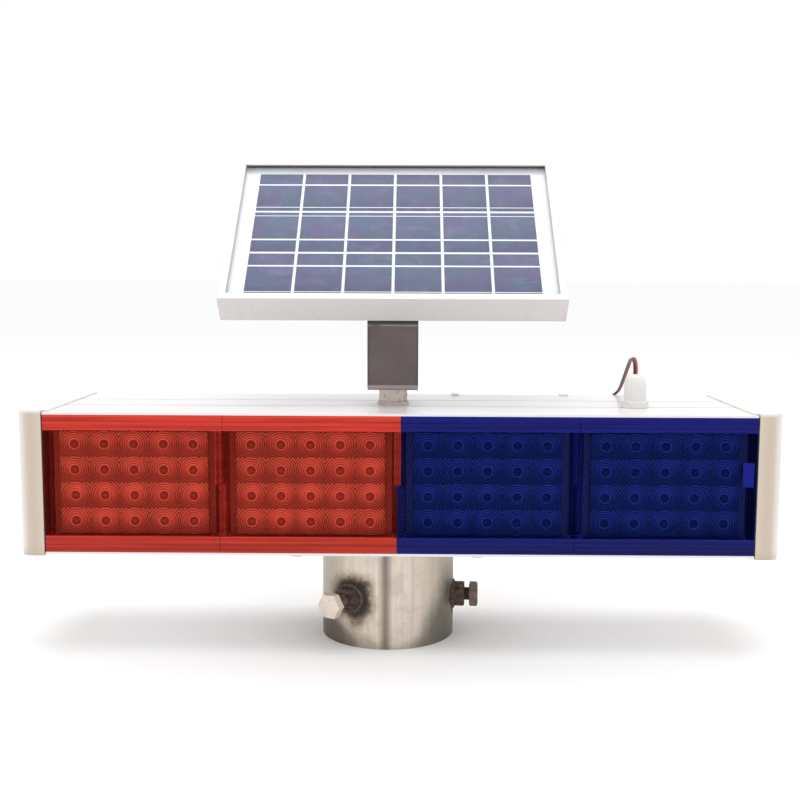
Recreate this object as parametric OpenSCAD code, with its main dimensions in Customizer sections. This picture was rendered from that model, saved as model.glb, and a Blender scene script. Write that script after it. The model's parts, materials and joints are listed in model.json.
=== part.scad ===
/* [Housing] */
// Width of the lit window between the two end caps
window_w = 572; // [480:1:700]
// Depth of the housing from its front face to its rear face
box_d = 151; // [140:1:190]
// Height of the housing over its top and bottom rails
box_h = 116; // [108:1:150]
// How far the housing's middle stands to the right of the pole's axis
box_shift = 10; // [0:1:15]
// How far the swivel bolt stands to the right of the pole's axis
swivel_shift = 4; // [0:1:8]
// Thickness of the top and bottom rails
rail_t = 2; // [1.6:0.1:3]
// Distance of the two lengthwise rail grooves from the middle
groove_y = 22; // [18:1:30]
// Number of lamps along each side
lamp_count = 4; // [2:1:4]

/* [End caps] */
// Thickness of an end cap at the front and rear faces
cap_edge_t = 18; // [16:1:24]
// Extra thickness where an end cap bulges at mid-depth
cap_bow = 9; // [4:1:12]
// Radius of the upright corners of an end cap
cap_corner_r = 8; // [5:0.5:10]
// Wall of an end cap
cap_wall = 3; // [2.4:0.1:4]
// Overlap of an end cap onto the rails
skirt_l = 3.5; // [2:0.5:6]
// Thickness of that overlap
skirt_t = 1.2; // [0.8:0.1:2]
// Thickness of the gasket behind an end cap
gasket_t = 1; // [0.5:0.1:2]

/* [Lamps] */
// Wall of a clear coloured cover
cover_t = 2.2; // [1.6:0.1:3]
// Height of the ribbed strip along the top of a cover
strip_top = 12.6; // [9:0.1:14]
// Height of the ribbed strip along the bottom of a cover
strip_bottom = 13.4; // [9:0.1:14]
// Sideways step of the half-lap between two covers
lap_w = 3; // [2:0.5:5]
// Distance of a lens plate from the sides of its tray's flange
lens_margin_x = 5.8; // [4:0.1:12]
// Distance of a lens plate from the top and bottom of that flange
lens_margin_z = 9.8; // [8:0.1:14]
// Thickness of a lens plate
lens_t = 2; // [1.5:0.1:3]
// Radius of one round lens
lens_r = 9.9; // [8:0.1:10.3]
// How far each round lens stands out of its plate
lens_rise = 1.5; // [0.8:0.1:2]
// Depth of a lamp's tray behind its flange
tray_depth = 12; // [8:0.5:16]
// Radius of an LED
led_r = 2.5; // [1.5:0.1:3]

/* [Pole sleeve] */
// Outer diameter of the sleeve
sleeve_od = 114; // [100:1:120]
// Wall of the sleeve
sleeve_wall = 3; // [2.5:0.1:5]
// Length of the sleeve under its flange
sleeve_h = 80; // [70:1:120]
// Thickness of the sleeve's flange plate
flange_t = 4; // [3:0.5:6]
// How far the flange plate reaches beyond the sleeve at each side
flange_side = 33; // [28:1:45]
// How far the flange plate reaches beyond the sleeve at the front and rear
flange_edge = 3; // [2:1:8]
// Mean height of the set screws above the sleeve's mouth
set_screw_z = 37; // [30:1:50]

/* [Bracket] */
// Width of the bent bracket
bracket_w = 42.5; // [36:0.5:50]
// Thickness of the bracket's plate
bracket_t = 3; // [2.5:0.5:4]
// Distance of the bracket's upright in front of the swivel axis
web_front = 28; // [26:0.5:34]
// How far the foot reaches behind the swivel axis
foot_rear = 16; // [15:0.5:24]

/* [Solar panel] */
// Border between the cells and the panel's left and right edges
border_side = 20.25; // [18:0.25:30]
// Mean border between the cells and the panel's lower and upper edges
border_end = 11.5; // [10:0.1:30]
// Depth of the panel's frame
panel_t = 25; // [22:0.5:30]
// Slope of the panel
tilt = 42.4; // [30:0.1:50]
// Height of the panel's lower front edge above the housing
panel_rise = 90.7; // [80:0.1:110]
// Distance of that edge in front of the swivel axis
panel_front = 47; // [44:0.1:52]
// Width of one solar cell
cell_w = 39; // [36:0.5:41]
// Length of one solar cell along the slope
cell_l = 52; // [48:0.5:52]
// Gap between cells
cell_gap = 2.5; // [1.5:0.1:2.8]

/* [Lead] */
// Diameter of the panel's lead
lead_d = 4; // [3:0.5:4]
// Distance of the cable gland from the housing's middle
gland_x = 198; // [180:1:210]
// Distance of the cable gland in front of mid-depth
gland_front = 20; // [14:1:30]

/* [Hidden] */
LEFT = -1;
RIGHT = 1;
FRONT = 0;
REAR = 180;
$fn = 64;
over = 1;

// Housing
box_z = sleeve_h + flange_t;
box_top = box_z + box_h;
lamp_w = window_w / lamp_count;
cover_h = box_h - 2 * rail_t;
cover_gap = 0.15;
web_in = 11.5;
web_t = 2;
web_h = 10;
port_y = 48;
port_in = 8.2;
port_r = 4.2;
port_bore_r = 2.05;
groove_w = 1.2;
groove_h = 0.8;
cap_screw_r = 2;
cap_screw_seat = 14;
cap_screw_grip = 16;
cap_head_r = 3.8;
cap_head_h = 2.6;
boss_r = 5.4;
gasket_w = 13;
gasket_inset = 1;

// Lamps
strip_rise = 1.2;
bead_count = 3;
bead_share = 0.55;
tray_t = 1.5;
tray_margin = 2;
tray_lip = 2;
board_t = 1.6;
led_body_h = 5.1;
lens_cols = 5;
lens_rows = 4;
tray_flange_w = lamp_w - lap_w - 2 * (cover_t + tray_margin);
tray_flange_h = cover_h - 2 * (cover_t + tray_margin);
lens_w = tray_flange_w - 2 * lens_margin_x;
lens_h = tray_flange_h - 2 * lens_margin_z;
tray_wall_w = lens_w + 2 * tray_lip;
tray_wall_h = lens_h + 2 * tray_lip;
lens_pitch_x = lens_w / lens_cols;
lens_pitch_z = lens_h / lens_rows;
tab_w = 9;
tab_h = 20;

// Sleeve and its fasteners
set_angles = [237, 357, 117];
set_heads = [22.5, 14, 14];
set_lifts = [4, -4, 0];
nut_h = 10;
m12_af = 19;
m12_r = 6;
m12_head_h = 7.5;
fit = 0.05;
tip_inset = 0.5;
nut_sink = 1.2;
flange_w = sleeve_od + 2 * flange_side;
flange_d = sleeve_od + 2 * flange_edge;
flange_corner_r = 10;
flange_hole_in = 14;
m8_room = 7.8;
flange_hole_x = flange_w / 2 - flange_hole_in;
flange_hole_y = port_y - port_r - m8_room;
m8_r = 4;
m8_hole_r = 4.3;
m8_af = 13;
m8_head_h = 5.3;
m8_nut_h = 6.5;
m8_washer_t = 1.6;
m8_washer_r = 8;

// Swivel bolt
m14_r = 7;
m14_af = 21;
m14_head_h = 8.8;
m14_nut_h = 11;
m14_washer_t = 2.5;
m14_washer_r = 13.5;
bolt_spare = 5;
face_gap = 0.1;
foot_z = m14_washer_t + m14_nut_h + face_gap;
nut_top_z = foot_z + bracket_t + face_gap + m14_washer_t;
bend_r = 3;
merge = 0.05;

// Panel
frame_wall = 1.6;
frame_lip = 6.5;
frame_lip_t = 1.5;
frame_shelf = 9;
frame_flange = 16;
glass_t = 3.2;
cell_t = 0.3;
sheet_t = 0.6;
glass_gap = 0.1;
edge_gap = 0.6;
glass_z = -frame_lip_t - glass_gap - glass_t;
cell_z = glass_z - cell_t;
sheet_z = cell_z - sheet_t;
cell_cols = 6;
cell_rows = 3;
cell_offset = -3;
panel_w = cell_cols * cell_w + (cell_cols - 1) * cell_gap + 2 * border_side;
panel_l = cell_rows * cell_l + (cell_rows - 1) * cell_gap + 2 * border_end;
m5_r = 2.5;
m5_hole_r = 2.7;
m5_af = 8;
m5_nut_h = 4;
m5_head_r = 4.6;
m5_head_h = 3;
plate_screw_x = 12;
plate_inset = 3;
plate_screw_in = bend_r + bracket_t + m5_head_r;

// Junction box on the back of the panel
jbox_w = 50;
jbox_l = 40;
jbox_h = 13;
jbox_wall = 2;
jbox_lid_t = 2.5;
jbox_x = -60;
jbox_s = 115;

// Gland: a 9 size with a 19 mm spanner size
gland_af = 20;
gland_thread_r = 7.6;
gland_thread_h = 8;
gland_hex_h = 6;
gland_dome_h = 22;
gland_nut_h = 4;
gland_clear = 0.1;
gland_collar_rim = 1.4;
gland_collar_t = 1.6;
gland_neck_in = 0.6;
gland_mouth_rim = 1;

// Inside
inside_gap = 1.2;
battery_size = [110, 65, 72];
battery_x = -box_shift - flange_hole_x - m8_room - inside_gap - battery_size.x / 2;
strap_w = 20;
strap_t = 1.5;
strap_foot = 10;
board_size = [90, 66, 1.6];
board_x = -box_shift + flange_hole_x + m8_room + inside_gap + board_size.x / 2;
standoff_h = 10;
standoff_r = 3;
standoff_in = 5;
relay_size = [26, 14, 11];
relay_at = [-30, -18];
terminal_size = [34, 9, 10];
terminal_at = [-38, 10];
capacitor_r = 5;
capacitor_h = 14;
capacitor_x = [8, 22];
capacitor_y = 12;
switch_x = 200;
switch_w = 28;
switch_d = 14;
switch_depth = 16;
switch_flange = 2;
switch_rim = 2;
switch_back = 2;
rocker_w = 20;
rocker_d = 9;
rocker_h = 6;
rocker_out = 3;
rocker_tilt = 10;
rocker_axis_z = 2;
rocker_pin_r = 1.5;
rocker_pin_in = 0.5;
rocker_end_gap = 0.2;
rocker_gap = 0.8;

// Route of the lead: heights are measured from the top of the housing
upper_route = [
    [-56, 32, 144], [-56, 26, 138], [-51, 23, 126], [-40, 26, 108], [-22, 32, 92], [-8, 36, 72],
    [0, 38, 50], [3, 39.5, 32], [4, 40.5, 20], [4, 42, 12], [4, 45.5, 6.2], [4, 50.5, 3.7], [4, 53, 3.7],
    [4, 55, 3.7]
];
lower_route = [
    [4, 55, 3.7], [4, 59, 3.7], [4, 62, 3.7], [5, 70, 4], [10, 78, 1.5], [21, 79, -4], [34, 79, -5],
    [80, 79, -5], [140, 79, -5], [190, 79, -5], [202, 79, -4], [210, 78.5, 1.5], [212, 70, 7], [211, 52, 15],
    [210, 32, 25], [209, 14, 34], [208, 0, 39], [208, -11, 40], [208, -18, 37], [208, -20, 32.5],
    [208, -20, 28]
];
lead_steps = 2;
lead_sides = 8;
clip_r = 3.6;
clip_l = 7;
clip_t = 1.5;
clip_foot = 7;
clip_gap = 0.2;
saddle_y = 55;
saddle_z = 3.7;
hook_x = [60, 160];
hook_y = 79;
hook_z = -5;
hook_reach = 12;

SET_SCREWS = [0 : len(set_angles) - 1];
LAMPS = [1 : lamp_count];
SIDES = [["front", FRONT], ["rear", REAR]];

// A hexagon across flats, with its corners along X
module hexagon(af) {
    circle(r = af / 2 / cos(30), $fn = 6);
}

// A bolt head with a round chamfered top
module hex_head(af, h) {
    intersection() {
        linear_extrude(h) hexagon(af);
        rotate_extrude() polygon([
            [0, 0], [af / 2 / cos(30) + 1, 0], [af / 2 / cos(30) + 1, h - af * 0.04],
            [af / 2 * 0.94, h], [0, h]
        ]);
    }
}

module hex_nut(af, h, bore_r) {
    difference() {
        hex_head(af, h);
        translate([0, 0, -over]) cylinder(r = bore_r, h = h + 2 * over);
    }
}

module washer(r, bore_r, t) {
    difference() {
        cylinder(r = r, h = t);
        translate([0, 0, -over]) cylinder(r = bore_r, h = t + 2 * over);
    }
}

// Moves a child from the housing's lower middle to the part's frame
module on_housing() {
    translate([box_shift, 0, box_z]) children();
}

// Moves a child from a flat panel, its lower top edge at the origin, to the part's frame
module on_panel() {
    on_swivel() translate([0, -panel_front, panel_rise]) rotate([tilt, 0, 0]) children();
}

// Moves a child from the swivel axis, where it leaves the housing's top, to the part's frame
module on_swivel() {
    translate([swivel_shift, 0, box_top]) children();
}

// Rails
module rail_profile() {
    difference() {
        union() {
            translate([-box_d / 2, 0]) square([box_d, rail_t]);
            for (s = [LEFT, RIGHT]) {
                translate([s * (box_d / 2 - web_in) - (s > 0 ? web_t : 0), 0])
                    square([web_t, rail_t + web_h]);
                translate([s * port_y, port_in]) circle(r = port_r);
                translate([s * port_y - port_r / 2, 0]) square([port_r, port_in]);
            }
        }
        for (s = [LEFT, RIGHT]) {
            translate([s * port_y, port_in]) circle(r = port_bore_r);
            translate([s * groove_y - groove_w / 2, -over]) square([groove_w, groove_h + over]);
        }
    }
}

module rail() {
    rotate([90, 0, 90]) linear_extrude(window_w, center = true) rail_profile();
}

module top_rail() {
    color("whitesmoke") on_housing() difference() {
        translate([0, 0, box_h]) mirror([0, 0, 1]) rail();
        translate([swivel_shift - box_shift, 0, box_h - rail_t - over])
            cylinder(r = m14_r + fit, h = rail_t + 2 * over);
        translate([gland_x, -gland_front, box_h - rail_t - over])
            cylinder(r = gland_thread_r + gland_clear, h = rail_t + 2 * over);
    }
}

module flange_points() {
    for (x = [LEFT, RIGHT], y = [LEFT, RIGHT])
        translate([x * flange_hole_x, y * flange_hole_y, 0]) children();
}

module bottom_rail() {
    color("whitesmoke") on_housing() difference() {
        rail();
        translate([-box_shift, 0, -over]) flange_points() cylinder(r = m8_hole_r, h = rail_t + 2 * over);
        translate([switch_x - switch_w / 2, -switch_d / 2, -over])
            cube([switch_w, switch_d, rail_t + 2 * over]);
    }
}

// End caps. The plan is drawn for the right-hand end, its inner face on x = 0
module cap_plan(depth, edge_t, corner_r) {
    half = depth / 2;
    bow_r = (half * half + cap_bow * cap_bow) / (2 * cap_bow);
    bow_x = edge_t + cap_bow - bow_r;
    corner_y = half - corner_r;
    corner_x = bow_x + sqrt(pow(bow_r - corner_r, 2) - corner_y * corner_y);
    tangent_y = corner_y * bow_r / (bow_r - corner_r);
    translate([0, -half]) square([corner_x, depth]);
    intersection() {
        translate([bow_x, 0]) circle(r = bow_r, $fn = 180);
        translate([0, -tangent_y]) square([edge_t + cap_bow, 2 * tangent_y]);
    }
    for (s = [LEFT, RIGHT])
        translate([corner_x, s * corner_y]) circle(r = corner_r);
}

module cap_screw_points() {
    for (y = [LEFT, RIGHT], z = [port_in, box_h - port_in])
        translate([0, y * port_y, z]) rotate([0, 90, 0]) children();
}

// Rounds the upper and lower outer edges of a cap
module cap_elevation() {
    reach = cap_edge_t + cap_bow;
    low = -skirt_t;
    high = box_h + skirt_t;
    rotate([90, 0, 0]) linear_extrude(box_d + 2 * over, center = true) {
        translate([-over, low]) square([reach + over - cap_corner_r, high - low]);
        translate([-over, low + cap_corner_r]) square([reach + over, high - low - 2 * cap_corner_r]);
        for (z = [low + cap_corner_r, high - cap_corner_r])
            translate([reach - cap_corner_r, z]) circle(r = cap_corner_r);
    }
}

module cap_body() {
    intersection() {
        translate([0, 0, -skirt_t]) linear_extrude(box_h + 2 * skirt_t)
            cap_plan(box_d, cap_edge_t, cap_corner_r);
        cap_elevation();
    }
    for (z = [-skirt_t, box_h])
        translate([-gasket_t - skirt_l, -box_d / 2 + cap_corner_r / 2, z])
            cube([gasket_t + skirt_l + over, box_d - cap_corner_r, skirt_t]);
}

module cap() {
    difference() {
        cap_body();
        difference() {
            translate([-over, 0, cap_wall]) linear_extrude(box_h - 2 * cap_wall)
                cap_plan(box_d - 2 * cap_wall, cap_edge_t - cap_wall + over, cap_corner_r - cap_wall);
            cap_screw_points() cylinder(r = boss_r, h = cap_edge_t + cap_bow);
        }
        cap_screw_points() {
            translate([0, 0, -over]) cylinder(r = cap_screw_r + 0.2, h = cap_edge_t + cap_bow);
            translate([0, 0, cap_screw_seat]) cylinder(r = cap_head_r + 0.6, h = cap_edge_t + cap_bow);
        }
    }
}

module gasket() {
    half_d = box_d / 2 - gasket_inset;
    difference() {
        translate([0, -half_d, gasket_inset])
            cube([gasket_t, 2 * half_d, box_h - 2 * gasket_inset]);
        translate([-over, -half_d + gasket_w, gasket_inset + gasket_w])
            cube([gasket_t + 2 * over, 2 * (half_d - gasket_w), box_h - 2 * (gasket_inset + gasket_w)]);
        cap_screw_points() translate([0, 0, -over])
            cylinder(r = cap_screw_r + 0.4, h = gasket_t + 2 * over);
    }
}

module cap_screw() {
    translate([0, 0, cap_screw_seat]) cylinder(r = cap_head_r, h = cap_head_h);
    translate([0, 0, -cap_screw_grip]) cylinder(r = cap_screw_r, h = cap_screw_grip + cap_screw_seat);
}

// Puts a child made for the right-hand end at either end of the window
module at_end(side, out = 0) {
    on_housing() rotate([0, 0, side == RIGHT ? 0 : 180])
        translate([window_w / 2 + out, 0, 0]) children();
}

module end_cap(side) {
    color("#d8d2c6") at_end(side, gasket_t) cap();
}

module end_gasket(side) {
    color("#303234") at_end(side) gasket();
}

module end_cap_screws() {
    color("silver") for (side = [LEFT, RIGHT])
        at_end(side, gasket_t) cap_screw_points() cap_screw();
}

// Lamps. Each is drawn for the front, its face on y = 0, its middle on x = 0
module at_lamp(turn, n) {
    on_housing() rotate([0, 0, turn])
        translate([(n - (lamp_count + 1) / 2) * lamp_w, -box_d / 2, 0]) children();
}

// A cover's outline seen from the front, with a half-lap step at each joint
module cover_outline(n) {
    left = -lamp_w / 2 + cover_gap;
    right = lamp_w / 2 - cover_gap;
    step_l = n > 1 ? lap_w / 2 : 0;
    step_r = n < lamp_count ? lap_w / 2 : 0;
    middle = box_h / 2;
    polygon([
        [left - step_l, rail_t], [right - step_r, rail_t], [right - step_r, middle + cover_gap],
        [right + step_r, middle + cover_gap], [right + step_r, box_h - rail_t],
        [left + step_l, box_h - rail_t], [left + step_l, middle - cover_gap],
        [left - step_l, middle - cover_gap]
    ]);
}

module cover(n) {
    inner_w = lamp_w - lap_w - 2 * cover_t - 2 * cover_gap;
    difference() {
        translate([0, web_in, 0]) rotate([90, 0, 0]) linear_extrude(web_in) cover_outline(n);
        translate([-inner_w / 2, strip_rise + cover_t, rail_t + cover_t])
            cube([inner_w, web_in, cover_h - 2 * cover_t]);
        translate([-inner_w / 2, -over, rail_t + strip_bottom])
            cube([inner_w, strip_rise + over, cover_h - strip_bottom - strip_top]);
        cover_beads(rail_t + cover_t, strip_bottom - cover_t);
        cover_beads(box_h - rail_t - strip_top, strip_top - cover_t);
    }
    if (n == lamp_count)
        translate([lamp_w / 2 - cover_t - tab_w, 0, box_h / 2])
            cube([tab_w, strip_rise, tab_h]);
}

// Lengthwise grooves that leave raised beads along a strip
module cover_beads(z, h) {
    pitch = h / bead_count;
    for (i = [0 : bead_count - 1])
        translate([-lamp_w, -over, z + pitch * i])
            cube([2 * lamp_w, over + strip_rise / 2, pitch * (1 - bead_share)]);
}

module lens_plate() {
    plate_y = web_in - tray_t - lens_t;
    middle = box_h / 2;
    translate([-lens_w / 2, plate_y, middle - lens_h / 2]) cube([lens_w, lens_t, lens_h]);
    lens_points() translate([0, plate_y, 0]) rotate([90, 0, 0]) cylinder(r = lens_r, h = lens_rise);
}

module lens_points() {
    for (c = [0 : lens_cols - 1], r = [0 : lens_rows - 1])
        translate([
            (c - (lens_cols - 1) / 2) * lens_pitch_x, 0,
            box_h / 2 + (r - (lens_rows - 1) / 2) * lens_pitch_z
        ]) children();
}

module lamp_tray() {
    back = web_in + tray_depth;
    middle = box_h / 2;
    difference() {
        union() {
            translate([-tray_flange_w / 2, web_in - tray_t, middle - tray_flange_h / 2])
                cube([tray_flange_w, tray_t, tray_flange_h]);
            translate([-tray_wall_w / 2, web_in - tray_t, middle - tray_wall_h / 2])
                cube([tray_wall_w, back - web_in + tray_t, tray_wall_h]);
        }
        translate([-tray_wall_w / 2 + tray_t, web_in - tray_t - over, middle - tray_wall_h / 2 + tray_t])
            cube([tray_wall_w - 2 * tray_t, back, tray_wall_h - 2 * tray_t]);
    }
    lamp_tray_ledge();
}

// Ledge inside a tray's mouth that the lens plate rests on
module lamp_tray_ledge() {
    open_w = lens_w - 2 * tray_lip;
    open_h = lens_h - 2 * tray_lip;
    middle = box_h / 2;
    difference() {
        translate([-tray_wall_w / 2, web_in - tray_t, middle - tray_wall_h / 2])
            cube([tray_wall_w, tray_t, tray_wall_h]);
        translate([-open_w / 2, web_in - tray_t - over, middle - open_h / 2])
            cube([open_w, tray_t + 2 * over, open_h]);
    }
}

module led_board() {
    board_y = web_in + tray_depth;
    translate([-tray_wall_w / 2, board_y, box_h / 2 - tray_wall_h / 2])
        cube([tray_wall_w, board_t, tray_wall_h]);
    lens_points() translate([0, board_y, 0]) rotate([90, 0, 0]) {
        cylinder(r = led_r, h = led_body_h);
        translate([0, 0, led_body_h]) sphere(r = led_r);
    }
}

module lamp_cover(turn, n) {
    color(lamp_is_red(n) ? "#e0301c" : "#10189a") at_lamp(turn, n) cover(n);
}

function lamp_is_red(n) = n <= lamp_count / 2;

module lamp_lens(turn, n) {
    color(lamp_is_red(n) ? "#b03020" : "#141c70") at_lamp(turn, n) lens_plate();
}

module tray(turn, n) {
    color("#26221f") at_lamp(turn, n) lamp_tray();
}

module led_boards(turn) {
    color("darkgreen") for (n = LAMPS) at_lamp(turn, n) led_board();
}

// Inside
module battery() {
    color("#3a3d42") on_housing() translate([battery_x, 0, rail_t])
        translate([-battery_size.x / 2, -battery_size.y / 2, 0]) cube(battery_size);
}

module battery_strap() {
    out_d = battery_size.y + 2 * strap_t;
    color("silver") on_housing() translate([battery_x - strap_w / 2, 0, rail_t]) difference() {
        union() {
            translate([0, -out_d / 2, 0]) cube([strap_w, out_d, battery_size.z + strap_t]);
            translate([0, -out_d / 2 - strap_foot, 0]) cube([strap_w, out_d + 2 * strap_foot, strap_t]);
        }
        translate([-over, -battery_size.y / 2, -over])
            cube([strap_w + 2 * over, battery_size.y, battery_size.z + over]);
    }
}

module controller_board() {
    top = standoff_h + board_size.z;
    color("darkgreen") on_housing() translate([board_x, 0, rail_t]) {
        translate([-board_size.x / 2, -board_size.y / 2, standoff_h]) cube(board_size);
        for (x = [LEFT, RIGHT], y = [LEFT, RIGHT])
            translate([x * (board_size.x / 2 - standoff_in), y * (board_size.y / 2 - standoff_in), 0])
                cylinder(r = standoff_r, h = standoff_h);
        translate([relay_at.x, relay_at.y, top]) cube(relay_size);
        translate([terminal_at.x, terminal_at.y, top]) cube(terminal_size);
        for (x = capacitor_x)
            translate([x, capacitor_y, top]) cylinder(r = capacitor_r, h = capacitor_h);
    }
}

// Rocker switch in the bottom rail, drawn with its flange's upper face on z = 0
module at_switch() {
    on_housing() translate([switch_x, 0, 0]) children();
}

module switch_body() {
    rim_w = switch_w + 2 * switch_rim;
    rim_d = switch_d + 2 * switch_rim;
    cavity_w = rocker_w + 2 * rocker_gap;
    cavity_d = rocker_d + 2 * rocker_gap;
    color("#202124") at_switch() difference() {
        union() {
            translate([-rim_w / 2, -rim_d / 2, -switch_flange]) cube([rim_w, rim_d, switch_flange]);
            translate([-switch_w / 2, -switch_d / 2, -switch_flange])
                cube([switch_w, switch_d, switch_depth + switch_flange]);
        }
        translate([-cavity_w / 2, -cavity_d / 2, -switch_flange - over])
            cube([cavity_w, cavity_d, switch_depth - switch_back + over]);
        translate([0, 0, rocker_axis_z]) rotate([90, 0, 0])
            cylinder(r = rocker_pin_r + fit, h = switch_d - 2 * rocker_pin_in, center = true);
    }
}

module switch_rocker() {
    pin_l = switch_d - 2 * rocker_pin_in - 2 * rocker_end_gap;
    color("#303236") at_switch() translate([0, 0, rocker_axis_z]) rotate([0, rocker_tilt, 0]) {
        translate([-rocker_w / 2, -rocker_d / 2, -switch_flange - rocker_out])
            cube([rocker_w, rocker_d, rocker_h]);
        rotate([90, 0, 0]) cylinder(r = rocker_pin_r, h = pin_l, center = true);
    }
}

// Pole sleeve with its flange welded on
module at_set_screw(i) {
    translate([0, 0, set_screw_z + set_lifts[i]]) rotate([0, 90, set_angles[i]]) children();
}

module flange_plate() {
    inset_x = flange_w / 2 - flange_corner_r;
    inset_y = flange_d / 2 - flange_corner_r;
    linear_extrude(flange_t) {
        square([flange_w, 2 * inset_y], center = true);
        square([2 * inset_x, flange_d], center = true);
        for (x = [LEFT, RIGHT], y = [LEFT, RIGHT])
            translate([x * inset_x, y * inset_y]) circle(r = flange_corner_r);
    }
}

module pole_sleeve() {
    bore_r = sleeve_od / 2 - sleeve_wall;
    color("#b8b2a6") difference() {
        union() {
            cylinder(r = sleeve_od / 2, h = sleeve_h, $fn = 120);
            translate([0, 0, sleeve_h]) flange_plate();
        }
        translate([0, 0, -over]) cylinder(r = bore_r, h = sleeve_h + over, $fn = 120);
        for (i = SET_SCREWS)
            at_set_screw(i) cylinder(r = m12_r + fit, h = sleeve_od);
        translate([0, 0, sleeve_h - over]) flange_points()
            cylinder(r = m8_hole_r, h = flange_t + 2 * over);
    }
}

module flange_fasteners() {
    color("silver") flange_points() {
        translate([0, 0, sleeve_h]) mirror([0, 0, 1]) hex_head(m8_af, m8_head_h);
        translate([0, 0, sleeve_h]) cylinder(r = m8_r, h = flange_t + rail_t + m8_nut_h + 4);
        translate([0, 0, box_z + rail_t]) washer(m8_washer_r, m8_r, m8_washer_t);
        translate([0, 0, box_z + rail_t + m8_washer_t]) hex_nut(m8_af, m8_nut_h, m8_r);
    }
}

module weld_nuts() {
    wall_r = sleeve_od / 2;
    color("#5a4e48") difference() {
        for (i = SET_SCREWS)
            at_set_screw(i) translate([0, 0, wall_r - nut_sink])
                rotate([0, 0, 30]) hex_nut(m12_af, nut_h + nut_sink, m12_r + fit);
        cylinder(r = wall_r, h = sleeve_h, $fn = 120);
    }
}

module set_screw(i) {
    wall_r = sleeve_od / 2;
    tip = wall_r - sleeve_wall + tip_inset;
    seat = wall_r + set_heads[i];
    color("#8c857c") at_set_screw(i) {
        translate([0, 0, tip]) cylinder(r = m12_r, h = seat - tip);
        translate([0, 0, seat]) rotate([0, 0, 30]) hex_head(m12_af, m12_head_h);
    }
}

// Swivel bolt, standing in the top rail
module swivel_bolt() {
    bolt_top = nut_top_z + m14_nut_h + bolt_spare;
    color("silver") on_swivel() {
        translate([0, 0, -rail_t]) mirror([0, 0, 1]) {
            washer(m14_washer_r, m14_r, m14_washer_t);
            translate([0, 0, m14_washer_t]) hex_head(m14_af, m14_head_h);
        }
        translate([0, 0, -rail_t - m14_washer_t]) cylinder(r = m14_r, h = bolt_top + rail_t + m14_washer_t);
    }
}

module swivel_nuts() {
    color("silver") on_swivel() {
        washer(m14_washer_r, m14_r + fit, m14_washer_t);
        translate([0, 0, m14_washer_t]) hex_nut(m14_af, m14_nut_h, m14_r);
        translate([0, 0, nut_top_z - m14_washer_t]) washer(m14_washer_r, m14_r + fit, m14_washer_t);
        translate([0, 0, nut_top_z]) hex_nut(m14_af, m14_nut_h, m14_r);
    }
}

// Bracket. Its profile is drawn in the Y-Z plane, heights from the housing's top
module bend(centre, from, to) {
    outer = bend_r + bracket_t;
    translate(centre) intersection() {
        difference() {
            circle(r = outer);
            circle(r = bend_r);
        }
        polygon([
            [0, 0], 2 * outer * [cos(from), sin(from)],
            3 * outer * [cos((from + to) / 2), sin((from + to) / 2)], 2 * outer * [cos(to), sin(to)]
        ]);
    }
}

module bracket_profile() {
    outer = bend_r + bracket_t;
    bend_y = -web_front + outer;
    low_z = foot_z + outer;
    normal = [-sin(tilt), cos(tilt)];
    slope = [cos(tilt), sin(tilt)];
    under = [-panel_front, panel_rise] - panel_t * normal;
    high_z = (under * normal - outer - normal.x * bend_y) / normal.y;
    bend_end = [bend_y, high_z] + outer * normal;
    plate_l = panel_l - plate_inset - (bend_end - under) * slope;
    translate([bend_y - merge, foot_z]) square([foot_rear - bend_y + merge, bracket_t]);
    bend([bend_y, low_z], 180, 270);
    translate([-web_front, low_z - merge]) square([bracket_t, high_z - low_z + 2 * merge]);
    bend([bend_y, high_z], 90 + tilt, 180);
    translate(bend_end) rotate(tilt) translate([-merge, -bracket_t]) square([plate_l + merge, bracket_t]);
}

module panel_screw_points() {
    for (x = [LEFT, RIGHT], s = [plate_screw_in, panel_l - plate_screw_in])
        translate([x * plate_screw_x, s, -panel_t]) children();
}

module bracket() {
    color("#6a605c") difference() {
        on_swivel() rotate([90, 0, 90]) linear_extrude(bracket_w, center = true) bracket_profile();
        on_swivel() translate([0, 0, foot_z - over]) cylinder(r = m14_r + fit, h = bracket_t + 2 * over);
        on_panel() panel_screw_points() translate([0, 0, -bracket_t - over])
            cylinder(r = m5_hole_r, h = bracket_t + 2 * over);
    }
}

// Panel frame. The profile's X is inwards from the edge, its Y is downwards from the top face
module frame_profile() {
    square([frame_wall, panel_t]);
    square([frame_lip, frame_lip_t]);
    translate([0, -sheet_z]) square([frame_shelf, frame_lip_t]);
    translate([0, panel_t - frame_wall]) square([frame_flange, frame_wall]);
}

// A frame length along X with mitred ends, its outer face on y = 0
module frame_length(l) {
    intersection() {
        rotate([-90, 0, -90]) linear_extrude(l, center = true) mirror([1, 0]) frame_profile();
        translate([0, 0, -panel_t - over]) linear_extrude(panel_t + 2 * over) polygon([
            [-l / 2, 0], [l / 2, 0], [l / 2 - frame_flange, frame_flange],
            [-l / 2 + frame_flange, frame_flange]
        ]);
    }
}

module drilled_frame() {
    color("#dedad6") on_panel() difference() {
        children();
        panel_screw_points() translate([0, 0, -over]) cylinder(r = m5_hole_r, h = frame_wall + 2 * over);
    }
}

module frame_lower() {
    drilled_frame() frame_length(panel_w);
}

module frame_upper() {
    drilled_frame() translate([0, panel_l, 0]) rotate(180) frame_length(panel_w);
}

module frame_side(side) {
    color("#dedad6") on_panel() translate([side * panel_w / 2, panel_l / 2, 0])
        rotate(side * 90) frame_length(panel_l);
}

module panel_layer(z, t) {
    gap = frame_wall + edge_gap;
    on_panel() translate([-panel_w / 2 + gap, gap, z])
        cube([panel_w - 2 * gap, panel_l - 2 * gap, t]);
}

module panel_glass() {
    color("#4a5a90", 0.4) panel_layer(glass_z, glass_t);
}

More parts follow.
